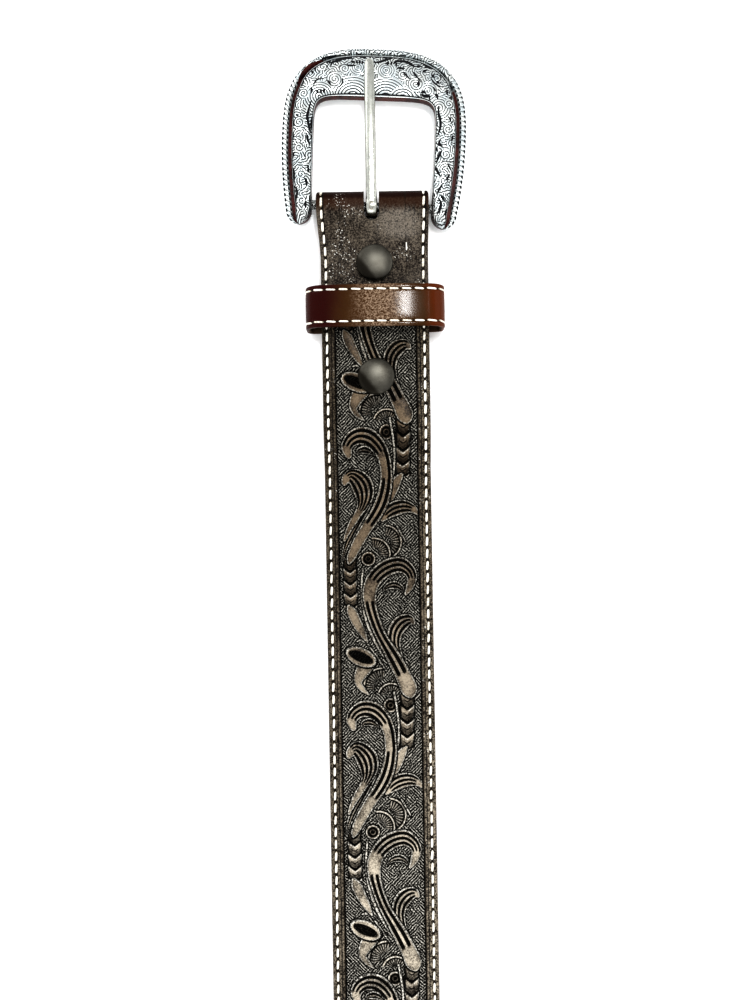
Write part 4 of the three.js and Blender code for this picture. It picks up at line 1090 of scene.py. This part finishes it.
def makeSnap(name, place, material):
    s = snaps
    rimZ = s["capBottom"] + s["rim"]
    profile = [(0.0, s["flangeTop"] - s["flangeThickness"], 0),
               (2.6, s["flangeTop"] - s["flangeThickness"], 0),
               (2.8, s["flangeTop"] - 0.55, 0), (3.9, s["flangeTop"] - 0.5, 0),
               (4.2, s["flangeTop"] - s["flangeThickness"], 1),
               (s["flangeRadius"] - 0.15, s["flangeTop"] - 0.7, 1),
               (s["flangeRadius"], s["flangeTop"] - 0.4, 1), (s["flangeRadius"] - 0.1, s["flangeTop"], 0),
               (s["postRadius"], s["flangeTop"], 0), (s["postRadius"], s["capBottom"], 0),
               (s["capRadius"] - 0.35, s["capBottom"], 0), (s["capRadius"] - 0.08, s["capBottom"] + 0.08, 1),
               (s["capRadius"], s["capBottom"] + 0.28, 1), (s["capRadius"] - 0.03, s["capBottom"] + 0.5, 1)]
    for angle in np.radians(np.linspace(3, 90, 22)):
        radius = (s["capRadius"] - 0.06) * math.cos(angle) ** 0.92
        profile.append((radius, rimZ + (s["capHeight"] - s["rim"]) * math.sin(angle) ** 1.05,
                        max(0.0, 1 - angle / 0.22)))
    profile[-1] = (0.0, rimZ + s["capHeight"] - s["rim"], 0)
    profile = np.array(profile)
    turn = np.radians(np.arange(0, 360, 360 / 72))
    points = np.stack([
        profile[None, :, 0] * np.cos(turn)[:, None],
        barRow - place + profile[None, :, 0] * np.sin(turn)[:, None],
        np.repeat(profile[None, :, 1], len(turn), axis=0)], axis=-1)
    faces = gridFaces(len(turn), len(profile), False, True)
    dx, dy = points[..., 0].ravel(), points[..., 1].ravel() - (barRow - place)
    # A painted highlight on the upper middle of the dome and painted shade on its lower left
    domeHighlight = np.exp(-((dx + 0.4) ** 2 + (dy - 1.7) ** 2) / 5.5)
    domeShade = smoothStep((-0.78 * dx - 0.62 * dy - 2.3) / 1.5)
    return makePiece(name, points.reshape(-1, 3), faces, material,
                     {"rim": np.tile(profile[:, 2], len(turn)), "domeHighlight": domeHighlight, "domeShade": domeShade},
                     sharpAngle=50, weld=True)


snapLook = gunmetalFinish()
for node, place in snaps["places"].items():
    cap = makeSnap("snapUpper" if node == "snap_upper" else "snapLower", place, snapLook)
    settle(cap, "belt", "gunmetal", node)
print("snaps")


# Buckle: a cast horseshoe frame with a rope edge, a painted groove and an engraved domed face

buckle = {
    "sideShift": -0.7, "turn": -3.0, "reach": 57.5, "halfWidth": 32.7, "openingReach": 38.7,
    "openingHalfWidth": 21.6, "shoulder": 24.0, "outerSquareness": 2.85, "openingSquareness": 6.5,
    "footReach": 1.9, "footOuter": 30.5, "footInner": 21.3, "archPeak": 3.4, "archPeakReach": 18.0,
    "faceHeight": 4.8, "ropeWidth": 2.4, "ropeHeight": 3.1, "ropePitch": 1.8,
    "grooveWidth": 1.2, "grooveFloor": 1.9, "stations": 800, "faceColumns": 84, "engraveDepth": 0.17,
    "barRadius": 1.6, "barHeight": 4.6,
}


def silverFinish():
    # Polished silver plate, blacked in the cuts, with dark red paint in the groove and on the wall
    f = Finish("engravedSilver", specularIorLevel=0.15)
    ink = f.mark("ink")
    paint = f.mark("paint")
    fleck = f.noise(0.25, 3.0, 0.7)
    cloud = f.noise(5.0, 2.0)
    bright = f.mixed((0.54, 0.59, 0.605), (0.70, 0.725, 0.71), f.ease(cloud, 0.3, 0.7))
    dark = f.ease(ink + (fleck - 0.5) * 0.2, 0.0, 0.75)
    colour = f.mixed(bright, (0.006, 0.007, 0.008), dark)
    red = f.mixed((0.005, 0.001, 0.001), (0.095, 0.020, 0.015), f.ease(fleck * 0.6 + cloud * 0.4, 0.40, 0.63))
    painted = f.ease(paint, 0.4, 0.6)
    colour = f.mixed(colour, red, painted)
    metallic = (1.0 - dark * 0.8) * (1.0 - painted)
    roughness = 0.24 + dark * 0.35 + painted * 0.15 + (fleck - 0.5) * 0.15
    normal = f.bump(fleck, 0.008)
    return f.feed(colour=colour, metallic=metallic, roughness=roughness, normal=normal)


def frameEdge(footX, halfWidth, reach, squareness, t):
    b = buckle
    armShare = 0.18
    side = np.where(t < 0.5, -1.0, 1.0)
    fromFoot = np.minimum(t, 1 - t) / armShare
    spread = blendOf(footX, halfWidth, 1 - (1 - np.minimum(fromFoot, 1)) ** 2)
    armY = blendOf(-b["footReach"], b["shoulder"], fromFoot)
    angle = math.pi * (1 - (t - armShare) / (1 - 2 * armShare))
    across = np.abs(np.cos(angle)) / halfWidth
    along = np.abs(np.sin(angle)) / (reach - b["shoulder"])
    radius = (across ** squareness + along ** squareness) ** (-1 / squareness)
    arm = fromFoot < 1
    x = np.where(arm, side * spread, radius * np.cos(angle))
    y = np.where(arm, armY, b["shoulder"] + radius * np.sin(angle))
    return np.stack([x, y], axis=1)


def frameStations():
    # Pairs of points on the opening's edge and on the outer edge, with the run along the outside
    b = buckle
    t = np.linspace(0, 1, 4001)
    outer = frameEdge(b["footOuter"], b["halfWidth"], b["reach"], b["outerSquareness"], t)
    inner = frameEdge(b["footInner"], b["openingHalfWidth"], b["openingReach"], b["openingSquareness"], t)
    run = np.concatenate([[0], np.cumsum(np.linalg.norm(np.diff(outer, axis=0), axis=1))])
    even = np.linspace(0, run[-1], b["stations"])
    pick = lambda rows: np.column_stack([np.interp(even, run, rows[:, 0]), np.interp(even, run, rows[:, 1])])
    outer, inner = pick(outer), pick(inner)
    radius, middle = (b["footOuter"] - b["footInner"]) / 2, (b["footOuter"] + b["footInner"]) / 2
    turn = np.radians(np.linspace(89, 0, 27)[:-1])
    foot = lambda side, far: np.column_stack([side * (middle + far * radius * np.cos(turn)),
                                              -b["footReach"] - radius * np.sin(turn)])
    outer = np.vstack([foot(-1, 1), outer, foot(1, 1)[::-1]])
    inner = np.vstack([foot(-1, -1), inner, foot(1, -1)[::-1]])
    fit = np.concatenate([np.cos(turn), np.ones(b["stations"]), np.cos(turn)[::-1]])
    run = np.concatenate([[0], np.cumsum(np.linalg.norm(np.diff(outer, axis=0), axis=1))])
    return inner, outer, fit, run


# The engraving in the frame's own plane: x to the right and y up from the bar, in mm. Shells are arcs round
# a centre, curls are spirals that turn left (1) or right (-1), and cuts are black tapered strokes.
engraving = {
    "pitch": 0.86, "cell": 1.9,
    "shells": [(-8.0, 37.6, 8.2, 1.0), (3.6, 37.4, 8.4, 1.02), (9.6, 37.2, 5.2, 0.96), (3.6, 48.2, 3.4, 0.8),
               (-6.5, 49.0, 3.2, 0.8), (-19.8, 37.8, 5.6, 0.92), (22.6, 35.0, 4.6, 0.9),
               (18.6, 41.0, 3.4, 0.86)],
    "curls": [(-14.6, 44.2, 2.9, 1), (14.2, 43.4, 2.9, -1), (-19.0, 49.0, 1.5, 1), (-11.2, 48.4, 2.0, -1),
              (9.6, 46.6, 2.1, 1), (21.6, 46.0, 1.7, -1), (-25.4, 38.6, 2.0, -1), (26.2, 36.6, 1.9, 1),
              (-26.6, 28.0, 2.1, 1), (-26.2, 19.0, 1.8, -1), (-25.2, 9.6, 1.6, 1), (26.2, 27.4, 2.0, -1),
              (25.6, 18.4, 1.8, 1), (25.2, 9.2, 1.6, -1), (-24.6, 0.6, 1.5, -1), (25.4, 1.0, 1.4, 1)],
    "cuts": [
        (0.34, [(-20.6, 51.4), (-18.5, 53.0), (-15.0, 53.8), (-11.0, 54.2), (-7.8, 54.4), (-6.2, 53.6)]),
        (0.42, [(-21.7, 47.4), (-21.7, 49.6), (-21.0, 50.9), (-19.4, 51.6), (-18.2, 51.2)]),
        (0.46, [(-16.2, 49.8), (-15.6, 51.0), (-13.8, 51.7), (-12.2, 52.5), (-10.6, 52.8), (-8.8, 52.7)]),
        (0.30, [(-17.9, 52.2), (-17.5, 50.6)]), (0.30, [(-17.0, 52.2), (-16.8, 50.4)]),
        (0.28, [(-14.8, 51.2), (-13.6, 50.9)]), (0.30, [(-11.2, 49.9), (-9.0, 49.6), (-7.2, 49.9)]),
        (0.40, [(-8.8, 51.3), (-7.9, 51.0)]), (0.28, [(-7.2, 51.9), (-6.8, 50.5)]),
        (0.28, [(-6.0, 51.9), (-6.0, 50.4)]), (0.28, [(-4.9, 51.6), (-5.1, 50.4)]),
        (0.34, [(-5.9, 53.2), (-4.7, 53.4), (-3.7, 52.8)]), (0.24, [(-3.4, 54.2), (-2.2, 53.4)]),
        (0.26, [(-26.0, 46.2), (-25.9, 43.8), (-26.2, 41.2)]), (0.28, [(-23.2, 50.2), (-22.7, 48.4)]),
        (0.26, [(-24.2, 48.8), (-23.9, 47.0)]), (0.26, [(-23.2, 47.8), (-22.4, 46.4)]),
        (0.26, [(-25.2, 47.2), (-24.4, 45.9)]), (0.26, [(-27.6, 45.0), (-26.6, 43.6)]),
        (0.26, [(-28.9, 41.4), (-27.9, 40.2), (-28.6, 38.6)]), (0.28, [(-16.8, 43.6), (-15.9, 41.9)]),
        (0.24, [(-11.9, 44.6), (-11.8, 43.0), (-12.9, 41.4)]), (0.34, [(-22.5, 40.6), (-22.6, 38.8)]),
        (0.24, [(-22.0, 41.6), (-21.0, 43.6), (-18.8, 44.4)]), (0.28, [(-20.6, 40.0), (-20.5, 38.8)]),
        (0.28, [(-19.4, 40.2), (-19.2, 38.9)]), (0.32, [(-18.2, 40.4), (-18.3, 39.2)]),
        (0.36, [(-2.0, 51.4), (0.4, 51.3), (2.6, 52.2), (4.6, 53.1), (6.2, 53.7)]),
        (0.28, [(3.2, 53.9), (4.2, 54.4), (5.2, 54.4)]), (0.34, [(6.2, 54.1), (8.2, 54.0), (9.6, 53.8)]),
        (0.42, [(11.4, 53.4), (14.0, 53.0), (16.4, 52.1), (17.6, 51.0), (19.4, 50.1)]),
        (0.44, [(6.1, 51.0), (7.0, 52.0), (9.4, 52.2), (11.4, 51.7), (12.8, 50.6), (13.9, 50.2)]),
        (0.34, [(3.2, 50.8), (4.0, 51.2), (4.0, 50.3)]), (0.26, [(5.3, 51.8), (5.2, 50.3)]),
        (0.26, [(7.0, 51.2), (7.0, 50.1)]), (0.36, [(7.4, 49.3), (10.0, 49.2)]),
        (0.36, [(17.2, 51.2), (18.0, 50.5), (17.1, 50.0)]), (0.34, [(14.4, 50.5), (15.8, 50.5)]),
        (0.30, [(16.7, 48.1), (17.8, 49.0)]), (0.30, [(20.2, 47.4), (20.3, 46.2)]),
        (0.24, [(9.4, 47.8), (10.8, 46.4), (12.0, 45.2)]), (0.24, [(12.8, 48.2), (14.2, 46.4), (16.0, 44.2)]),
        (0.38, [(16.2, 40.4), (17.0, 40.7), (17.7, 40.3)]),
        (0.40, [(16.3, 39.8), (17.4, 39.3), (18.9, 39.2), (19.2, 38.4)]),
        (0.30, [(15.0, 44.2), (15.1, 42.8)]),
        (0.26, [(19.6, 45.8), (20.8, 44.0), (22.8, 42.8)]), (0.38, [(21.6, 44.6), (22.3, 44.2)]),
        (0.26, [(25.3, 42.2), (25.4, 39.8)]), (0.30, [(26.8, 39.6), (26.9, 38.3)]),
        (0.36, [(21.0, 40.0), (21.8, 39.4), (22.0, 38.2)]), (0.26, [(20.3, 42.6), (21.3, 41.0)]),
        (0.36, [(-22.6, 36.0), (-23.4, 32.4), (-23.7, 30.0), (-23.0, 26.6), (-22.5, 24.6)]),
        (0.28, [(-22.2, 30.2), (-22.3, 26.0)]), (0.30, [(-23.6, 24.0), (-23.3, 22.0), (-22.5, 20.4)]),
        (0.28, [(-29.7, 31.4), (-29.0, 29.0), (-28.4, 27.0)]),
        (0.32, [(-29.6, 25.2), (-28.6, 23.4), (-29.4, 21.0)]),
        (0.30, [(-28.9, 17.8), (-27.9, 16.2)]), (0.26, [(-28.4, 12.4), (-27.8, 10.4), (-27.5, 7.4)]),
        (0.34, [(-27.2, 5.4), (-26.4, 3.4), (-27.0, 0.8), (-26.6, -1.2)]),
        (0.34, [(-23.2, 0.2), (-23.4, -2.0)]),
        (0.30, [(-22.9, 13.0), (-22.6, 10.6)]), (0.28, [(-23.8, 8.4), (-22.9, 6.0)]),
        (0.38, [(22.4, 35.6), (22.6, 33.0), (23.3, 30.4), (23.3, 27.8), (22.6, 25.2)]),
        (0.32, [(23.5, 23.8), (23.1, 22.2), (24.2, 21.1)]), (0.28, [(22.2, 21.0), (22.6, 19.4)]),
        (0.36, [(24.2, 19.8), (23.2, 17.8), (22.4, 15.4)]),
        (0.32, [(22.4, 13.8), (23.0, 12.2), (24.0, 10.6)]),
        (0.26, [(26.2, 32.0), (27.2, 30.0)]), (0.28, [(27.9, 25.4), (27.5, 23.2)]),
        (0.26, [(26.4, 15.0), (27.8, 13.0)]), (0.28, [(27.2, 11.4), (26.0, 9.4)]),
        (0.28, [(24.8, 7.8), (23.8, 6.2), (23.1, 4.4)]), (0.28, [(24.6, 4.0), (25.8, 2.0)]),
        (0.36, [(23.6, 3.0), (24.5, 1.2), (24.2, -1.0), (23.4, -2.4)]), (0.30, [(26.6, -0.4), (26.2, -2.6)]),
    ],
}


class Engraving:
    # Ink from 0 to 1 over the face, laid motif over motif

    def __init__(self, places):
        self.places = places
        self.ink = np.zeros(len(places))
        self.lift = np.zeros(len(places))

    def waves(self, centres, pitch, draw):
        # Patches of short parallel arcs, each patch with a centre of its own some way off
        nearest = np.full(len(self.places), 1e9)
        phase = np.zeros(len(self.places))
        for centre in centres:
            way = draw.uniform(0, 2 * math.pi)
            far = centre + draw.uniform(0.9, 3.2) * np.array([math.cos(way), math.sin(way)])
            offset = self.places - centre
            ragged = 0.15 * np.sin(3 * np.arctan2(offset[:, 1], offset[:, 0]))
            reach = np.hypot(offset[:, 0], offset[:, 1]) + ragged
            closer = reach < nearest
            nearest[closer] = reach[closer]
            phase[closer] = np.hypot(*(self.places[closer] - far).T) / pitch
        self.ink = smoothStep(1.3 - np.abs(phase % 1.0 - 0.5) / 0.25)

    def lay(self, centre, radius, pattern):
        offset = self.places - centre
        reach = np.hypot(offset[:, 0], offset[:, 1])
        inside = reach < radius
        line = pattern(reach, np.arctan2(offset[:, 1], offset[:, 0]))
        self.ink[inside] = line[inside]
        self.lift[inside] = (0.5 * (1 - (reach / radius) ** 2))[inside]

    def shell(self, x, y, radius, pitch):
        wave = lambda reach, angle: smoothStep(1.3 - np.abs((reach / pitch) % 1.0 - 0.5) / 0.22)
        self.lay((x, y), radius, wave)

    def curl(self, x, y, radius, hand):
        def wave(reach, angle):
            phase = (reach / 0.9 + hand * angle / (2 * math.pi)) % 1.0
            return smoothStep(1.35 - np.abs(phase - 0.5) / 0.22)
        self.lay((x, y), radius, wave)

    def stroke(self, wide, spots):
        line, _ = splinePath(np.array(spots), 10)
        share = np.linspace(0.05, 0.95, len(line))
        low, high = line.min(0) - wide * 2, line.max(0) + wide * 2
        part = ((self.places > low) & (self.places < high)).all(axis=1)
        gap = self.places[part][:, None, :] - line[None]
        reach = np.hypot(gap[..., 0], gap[..., 1]) / (wide * (0.4 + 0.85 * np.sin(math.pi * share)))
        self.ink[part] = np.maximum(self.ink[part], smoothStep(1.7 - 1.2 * reach.min(1)) * 1.3)


def engrave(places):
    e = engraving
    sheet = Engraving(places)
    draw = np.random.default_rng(7)
    rows = np.arange(-6, 57, e["cell"])
    centres = np.array([(x + (number % 2) * e["cell"] / 2, y) for number, y in enumerate(rows)
                        for x in np.arange(-33, 33, e["cell"])])
    centres += draw.uniform(-0.55, 0.55, centres.shape)
    sheet.waves(centres, e["pitch"], draw)
    for shell in e["shells"]:
        sheet.shell(*shell)
    for curl in e["curls"]:
        sheet.curl(*curl)
    for wide, spots in e["cuts"]:
        sheet.stroke(wide, spots)
    return sheet.ink, sheet.lift


def makeFrame():
    b = buckle
    inner, outer, fit, run = frameStations()
    width = np.linalg.norm(outer - inner, axis=1)
    squash = np.minimum(1.0, width / (b["footOuter"] - b["footInner"]))
    crown = smoothStep((outer[:, 1] - 42) / 8)
    rope, groove = b["ropeWidth"] * squash, b["grooveWidth"] * squash * (1 - 0.5 * crown)
    face = width - rope - groove
    low = np.sqrt(squash)

    at = np.linspace(0.0, 1.0, b["faceColumns"])
    dome = 0.66 + 0.34 * (1 - np.abs((at - 0.48) / 0.52) ** 2.6)
    dome *= 1 - 0.05 * (1 - smoothStep(at / 0.03)) - 0.05 * (1 - smoothStep((1 - at) / 0.03))
    facePlaces = at[None, :] * face[:, None]
    faceLift = b["faceHeight"] * low[:, None] * dome[None, :]

    grooveAt = np.array([0.06, 0.3, 0.7, 0.94])
    groovePlaces = face[:, None] + grooveAt[None, :] * groove[:, None]
    grooveLift = b["grooveFloor"] * low[:, None] * np.ones(4)[None, :]

    ropeAt = np.linspace(0.04, 1.0, 13)
    ropePlaces = (face + groove)[:, None] + ropeAt[None, :] * rope[:, None]
    ropeRound = np.sqrt(np.clip(1 - (2 * ropeAt - 1) ** 2 * 0.92, 0, 1))
    count = round(run[-1] / b["ropePitch"])
    phase = run[:, None] / run[-1] * count * 2 * math.pi
    twist = np.cos(phase - 3.4 * (ropeAt[None, :] - 0.5))
    gap = smoothStep((-twist - 0.62) / 0.3) * (1 - 0.8 * crown[:, None])
    innerDash = smoothStep(1.35 - np.abs(ropeAt - 0.16) / 0.14) * smoothStep((twist + 0.35) / 0.3)
    outerDash = smoothStep(1.35 - np.abs(ropeAt - 0.88) / 0.17) * smoothStep((0.55 - twist) / 0.3)
    ropeLift = (0.55 + 0.45 * ropeRound[None, :]) * b["ropeHeight"] * low[:, None] - 0.3 * gap * low[:, None]
    ropeInk = np.clip(np.maximum(innerDash, outerDash) + 0.5 * gap, 0, 1)

    outerAt = np.array([1.0, 1.0, 0.985, 0.96])
    outerPlaces = width[:, None] * outerAt[None, :]
    outerLift = np.array([0.42, 0.2, 0.05, 0.0])[None, :] * b["ropeHeight"] * low[:, None]
    backPlaces = width[:, None] * np.array([0.7, 0.35, 0.04])[None, :]
    backLift = np.zeros((len(width), 3))
    wallPlaces = np.zeros((len(width), 3))
    wallLift = np.array([0.15, 1.2, 2.6])[None, :] * low[:, None]

    across = np.hstack([facePlaces, groovePlaces, ropePlaces, outerPlaces, backPlaces, wallPlaces])
    lift = np.hstack([faceLift, grooveLift, ropeLift, outerLift, backLift, wallLift])
    share = across / width[:, None]
    flat = inner[:, None, :] + (outer - inner)[:, None, :] * share[..., None]

    columns = b["faceColumns"]
    ropeStart = columns + len(grooveAt)
    grooveColumns, ropeColumns = slice(columns, ropeStart), slice(ropeStart, ropeStart + len(ropeAt))
    faceFlat = flat[:, :columns]
    ink, bulge = engrave(faceFlat.reshape(-1, 2))
    ink = ink.reshape(faceFlat.shape[:2])
    bulge = bulge.reshape(faceFlat.shape[:2])
    rim = (smoothStep(1.3 - np.abs(at - 0.045) * 45) + smoothStep(1.3 - np.abs(at - 0.955) * 45))[None, :]
    toEdge = smoothStep((np.abs(at - 0.42) - 0.2) / 0.22)[None, :]
    leftArm = smoothStep((-12 - faceFlat[..., 0]) / 6) * smoothStep((42 - faceFlat[..., 1]) / 8)
    ends = smoothStep((at - 0.02) / 0.03), smoothStep((0.98 - at) / 0.03)
    ink = ink * (0.74 + 0.24 * toEdge + 0.14 * leftArm) * ends[0] * ends[1]
    ink = np.clip(np.maximum(ink, 0.9 * rim), 0, 1)
    lift[:, :columns] += (0.12 * bulge - b["engraveDepth"] * ink) * low[:, None]

    arch = b["archPeak"] - b["archPeak"] / (b["reach"] - b["archPeakReach"]) ** 2 * (
        flat[..., 1] - b["archPeakReach"]) ** 2
    allInk = np.zeros_like(lift)
    allInk[:, :columns] = ink
    ropeFlat = flat[:, ropeColumns]
    scratched = engrave(ropeFlat.reshape(-1, 2))[0].reshape(ropeInk.shape)
    allInk[:, ropeColumns] = blendOf(ropeInk, 0.85 * np.minimum(scratched, 1), crown[:, None])
    paint = np.zeros_like(lift)
    painted = 1 - smoothStep((flat[:, columns, 1] - np.where(flat[:, columns, 0] < 0, 50, 39)) / 6)
    paint[:, grooveColumns] = painted[:, None]
    broken = 0.5 + 0.5 * np.sin(run * 0.9 + 1.4 * np.sin(run * 0.23))
    allInk[:, grooveColumns] = ((1 - painted) * (1 - 0.75 * crown * broken))[:, None]
    shoulder = np.hypot(flat[:, ropeStart, 0] + 25.0, flat[:, ropeStart, 1] - 49.0)[:, None] / 7.5
    paint[:, ropeColumns] = smoothStep((0.62 * (1 - shoulder ** 2) - ropeAt[None, :]) / 0.12)
    paint[:, -3:] = 1
    paint[:, 0] = 1

    turn = math.radians(b["turn"])
    x, y = flat[..., 0], flat[..., 1]
    points = np.stack([
        b["sideShift"] + x * math.cos(turn) - y * math.sin(turn),
        barRow + x * math.sin(turn) + y * math.cos(turn),
        np.maximum(arch + lift, 0.02),
    ], axis=-1)
    faces = gridFaces(*points.shape[:2], True).tolist()
    return makePiece("engravedFrame", points.reshape(-1, 3), faces, silverFinish(),
                     {"ink": allInk.ravel(), "paint": paint.ravel()}, weld=True, sharpAngle=70)


def makeBar():
    # The bar between the feet, dark and a little out of round where the leather has worn it
    b = buckle
    f = Finish("darkBar", metallic=1.0)
    fleck = f.noise(0.5, 3.0)
    look = f.feed(colour=f.mixed((0.012, 0.010, 0.009), (0.42, 0.43, 0.42), f.ease(fleck, 0.46, 0.6)),
                  roughness=0.4 + fleck * 0.2, normal=f.bump(fleck, 0.02))
    length = b["footInner"] + 3.0
    along = np.linspace(-length, length, 90)
    turn = np.radians(np.arange(0, 360, 12))
    radius = b["barRadius"] * (1 + 0.012 * np.sin(along * 1.7))
    spin = math.radians(b["turn"])
    x = np.repeat(along[:, None], len(turn), axis=1)
    y = radius[:, None] * np.cos(turn)[None, :]
    points = np.stack([b["sideShift"] + x * math.cos(spin) - y * math.sin(spin),
                       barRow + x * math.sin(spin) + y * math.cos(spin),
                       b["barHeight"] + radius[:, None] * np.sin(turn)[None, :]], axis=-1)
    return makePiece("buckleBar", points.reshape(-1, 3), gridFaces(*points.shape[:2], True), look, weld=True)


engravedFrame = makeFrame()
settle(engravedFrame, "buckle", "engraved_silver", "buckle_frame")
buckleBar = makeBar()
settle(buckleBar, "buckle", "engraved_silver")
print("buckle frame", len(engravedFrame.data.polygons), "faces")


# Prong

prong = {"reach": 51.4, "width": 3.9, "thickness": 2.7, "ringInner": 1.9, "ringWall": 2.3, "bulge": 0.72,
         "rows": [(0.0, 0.0, 0.94, 0.72), (0.1, 0.05, 0.98, 0.86), (0.24, 0.17, 1.0, 1.0),
                  (0.5, 0.38, 1.0, 1.0),
                  (0.72, 0.38, 0.97, 1.0), (0.86, 0.3, 0.92, 0.98), (0.94, 0.17, 0.88, 0.9),
                  (0.975, 0.08, 0.78, 0.78), (0.993, 0.03, 0.55, 0.55), (1.0, 0.0, 0.25, 0.28)]}


def nickelFinish():
    # Satin nickel, drawn lengthwise, with a small dark press mark at the root
    f = Finish("satinNickel", metallic=1.0)
    drawn = f.noise(0.5, 4.0, 0.7, f.stretched(3.0, 0.12, 3.0))
    cloud = f.noise(3.0, 2.0)
    side = (f.x + 0.75) / 0.75
    far = (f.y - 189.3) / 1.5
    press = 1.0 - f.ease(f.maths("ABSOLUTE", (side ** 2.0 + far ** 2.0) - 0.75), 0.0, 0.6)
    press = press * f.ease(f.z, 8.0, 8.3)
    colour = f.mixed((0.32, 0.33, 0.305), (0.48, 0.485, 0.448), f.ease(drawn * 0.5 + cloud * 0.5, 0.3, 0.7))
    colour = f.mixed(colour, (0.22, 0.19, 0.15), press * 0.75)
    roughness = 0.25 + (drawn - 0.5) * 0.2
    return f.feed(colour=colour, roughness=roughness, normal=f.bump(drawn, 0.02))


def makeProng():
    p = prong
    samples, _ = splinePath(p["rows"], 8)
    samples[:, 0] = np.maximum.accumulate(samples[:, 0])
    sides = 28
    turn = 2 * math.pi * (np.arange(sides) + 0.5) / sides
    rounded = lambda value: np.sign(value) * np.abs(value) ** p["bulge"]
    middle = p["ringInner"] + p["ringWall"] / 2
    x = buckle["sideShift"] - rounded(np.cos(turn))[None, :] * samples[:, 2:3] * p["width"] / 2
    y = barRow + samples[:, 0:1] * p["reach"] + 0 * x
    z = (buckle["barHeight"] + middle + samples[:, 1:2] * p["thickness"]
         + rounded(np.sin(turn))[None, :] * samples[:, 3:4] * p["thickness"] / 2)
    shank = np.stack([x, y, z], axis=-1)
    shankFaces = gridFaces(*shank.shape[:2], True).tolist()
    last = len(samples) - 1
    shankFaces += [list(range(sides)), list(range(last * sides, (last + 1) * sides))[::-1]]

    wide, wall, inner = p["width"] / 2, p["ringWall"], p["ringInner"]
    section = np.array([(-wide, inner + 0.35), (-wide, inner + wall - 0.5),
                        (-wide + 0.15, inner + wall - 0.15),
                        (-wide + 0.5, inner + wall), (wide - 0.5, inner + wall),
                        (wide - 0.15, inner + wall - 0.15),
                        (wide, inner + wall - 0.5), (wide, inner + 0.35), (wide - 0.35, inner),
                        (-wide + 0.35, inner)])
    spin = np.radians(np.arange(0, 360, 6))
    ring = np.stack([
        np.repeat(buckle["sideShift"] + section[None, :, 0], len(spin), axis=0),
        barRow + np.cos(spin)[:, None] * section[None, :, 1],
        buckle["barHeight"] + np.sin(spin)[:, None] * section[None, :, 1]], axis=-1)
    ringFaces = gridFaces(len(spin), len(section), True, True)
    points = np.vstack([shank.reshape(-1, 3), ring.reshape(-1, 3)])
    faces = shankFaces + (ringFaces + shank.shape[0] * sides).tolist()
    return makePiece("prongShank", points, faces, nickelFinish(), weld=True, sharpAngle=60)


prongShank = makeProng()
settle(prongShank, "tongue", "satin_nickel", "prong")
print("prong", len(prongShank.data.polygons), "faces")


# Studio

studio = {
    "cameraX": -1.18, "cameraY": 85.6, "height": 333.3, "roll": -0.955, "focal": 33.21,
    "floorColour": (0.96, 0.96, 0.96), "world": 0.84,
    "lights": [
        {"name": "keyBox", "place": (-640, 860, 520), "aim": (0, 120, 0), "size": (900, 900), "power": 3.4},
        {"name": "sideBox", "place": (-800, -120, 430), "aim": (0, 40, 0), "size": (700, 700), "power": 1.5},
        {"name": "rightBox", "place": (820, 260, 380), "aim": (0, 100, 0), "size": (600, 600), "power": 1.1},
        {"name": "lowBox", "place": (-60, -520, 560), "aim": (0, -40, 0), "size": (420, 420), "power": 1.0},
        {"name": "window", "place": (131, 357, 900), "aim": (12, 153, 14), "size": (46, 180), "power": 2.3},
    ],
}


def makeFloor():
    f = Finish("paleFloor", specularIorLevel=0.1, emissionStrength=0.02)
    paper = f.noise(2.0, 2.0)
    colour = f.mixed(studio["floorColour"], (0.98, 0.98, 0.98), paper)
    look = f.feed(colour=colour, roughness=0.85 + paper * 0.05)
    side = 1500.0
    floor = makePiece("floor", [(-side, -side, 0), (side, -side, 0), (side, side, 0), (-side, side, 0)],
                      [[0, 1, 2, 3]], look)


def makeStudio():
    s = studio
    lens = bpy.data.cameras.new("camera")
    lens.sensor_width, lens.lens = 36.0, s["focal"]
    lens.clip_start, lens.clip_end = 0.01, 20.0
    camera = bpy.data.objects.new("camera", lens)
    camera.location = (s["cameraX"] * mm, s["cameraY"] * mm, s["height"] * mm)
    camera.rotation_euler = (0, 0, math.radians(s["roll"]))
    scene.collection.objects.link(camera)
    scene.camera = camera
    for row in s["lights"]:
        lamp = bpy.data.lights.new(row["name"], "AREA")
        lamp.shape = "RECTANGLE"
        lamp.size, lamp.size_y = row["size"][0] * mm, row["size"][1] * mm
        lamp.energy = row["power"]
        holder = bpy.data.objects.new(row["name"], lamp)
        place, aim = Vector(row["place"]), Vector(row["aim"])
        holder.location = place * mm
        backward = (place - aim).normalized()
        across = Vector((0, 1, 0)).cross(backward).normalized()
        holder.rotation_euler = Matrix((across, backward.cross(across), backward)).transposed().to_euler()
        scene.collection.objects.link(holder)
    world = bpy.data.worlds.new("studio")
    world.use_nodes = True
    world.node_tree.nodes["Background"].inputs["Color"].default_value = (1.0, 1.0, 1.0, 1.0)
    world.node_tree.nodes["Background"].inputs["Strength"].default_value = s["world"]
    scene.world = world
    scene.view_settings.view_transform = "Standard"
    scene.view_settings.look = "High Contrast"


makeFloor()
makeStudio()
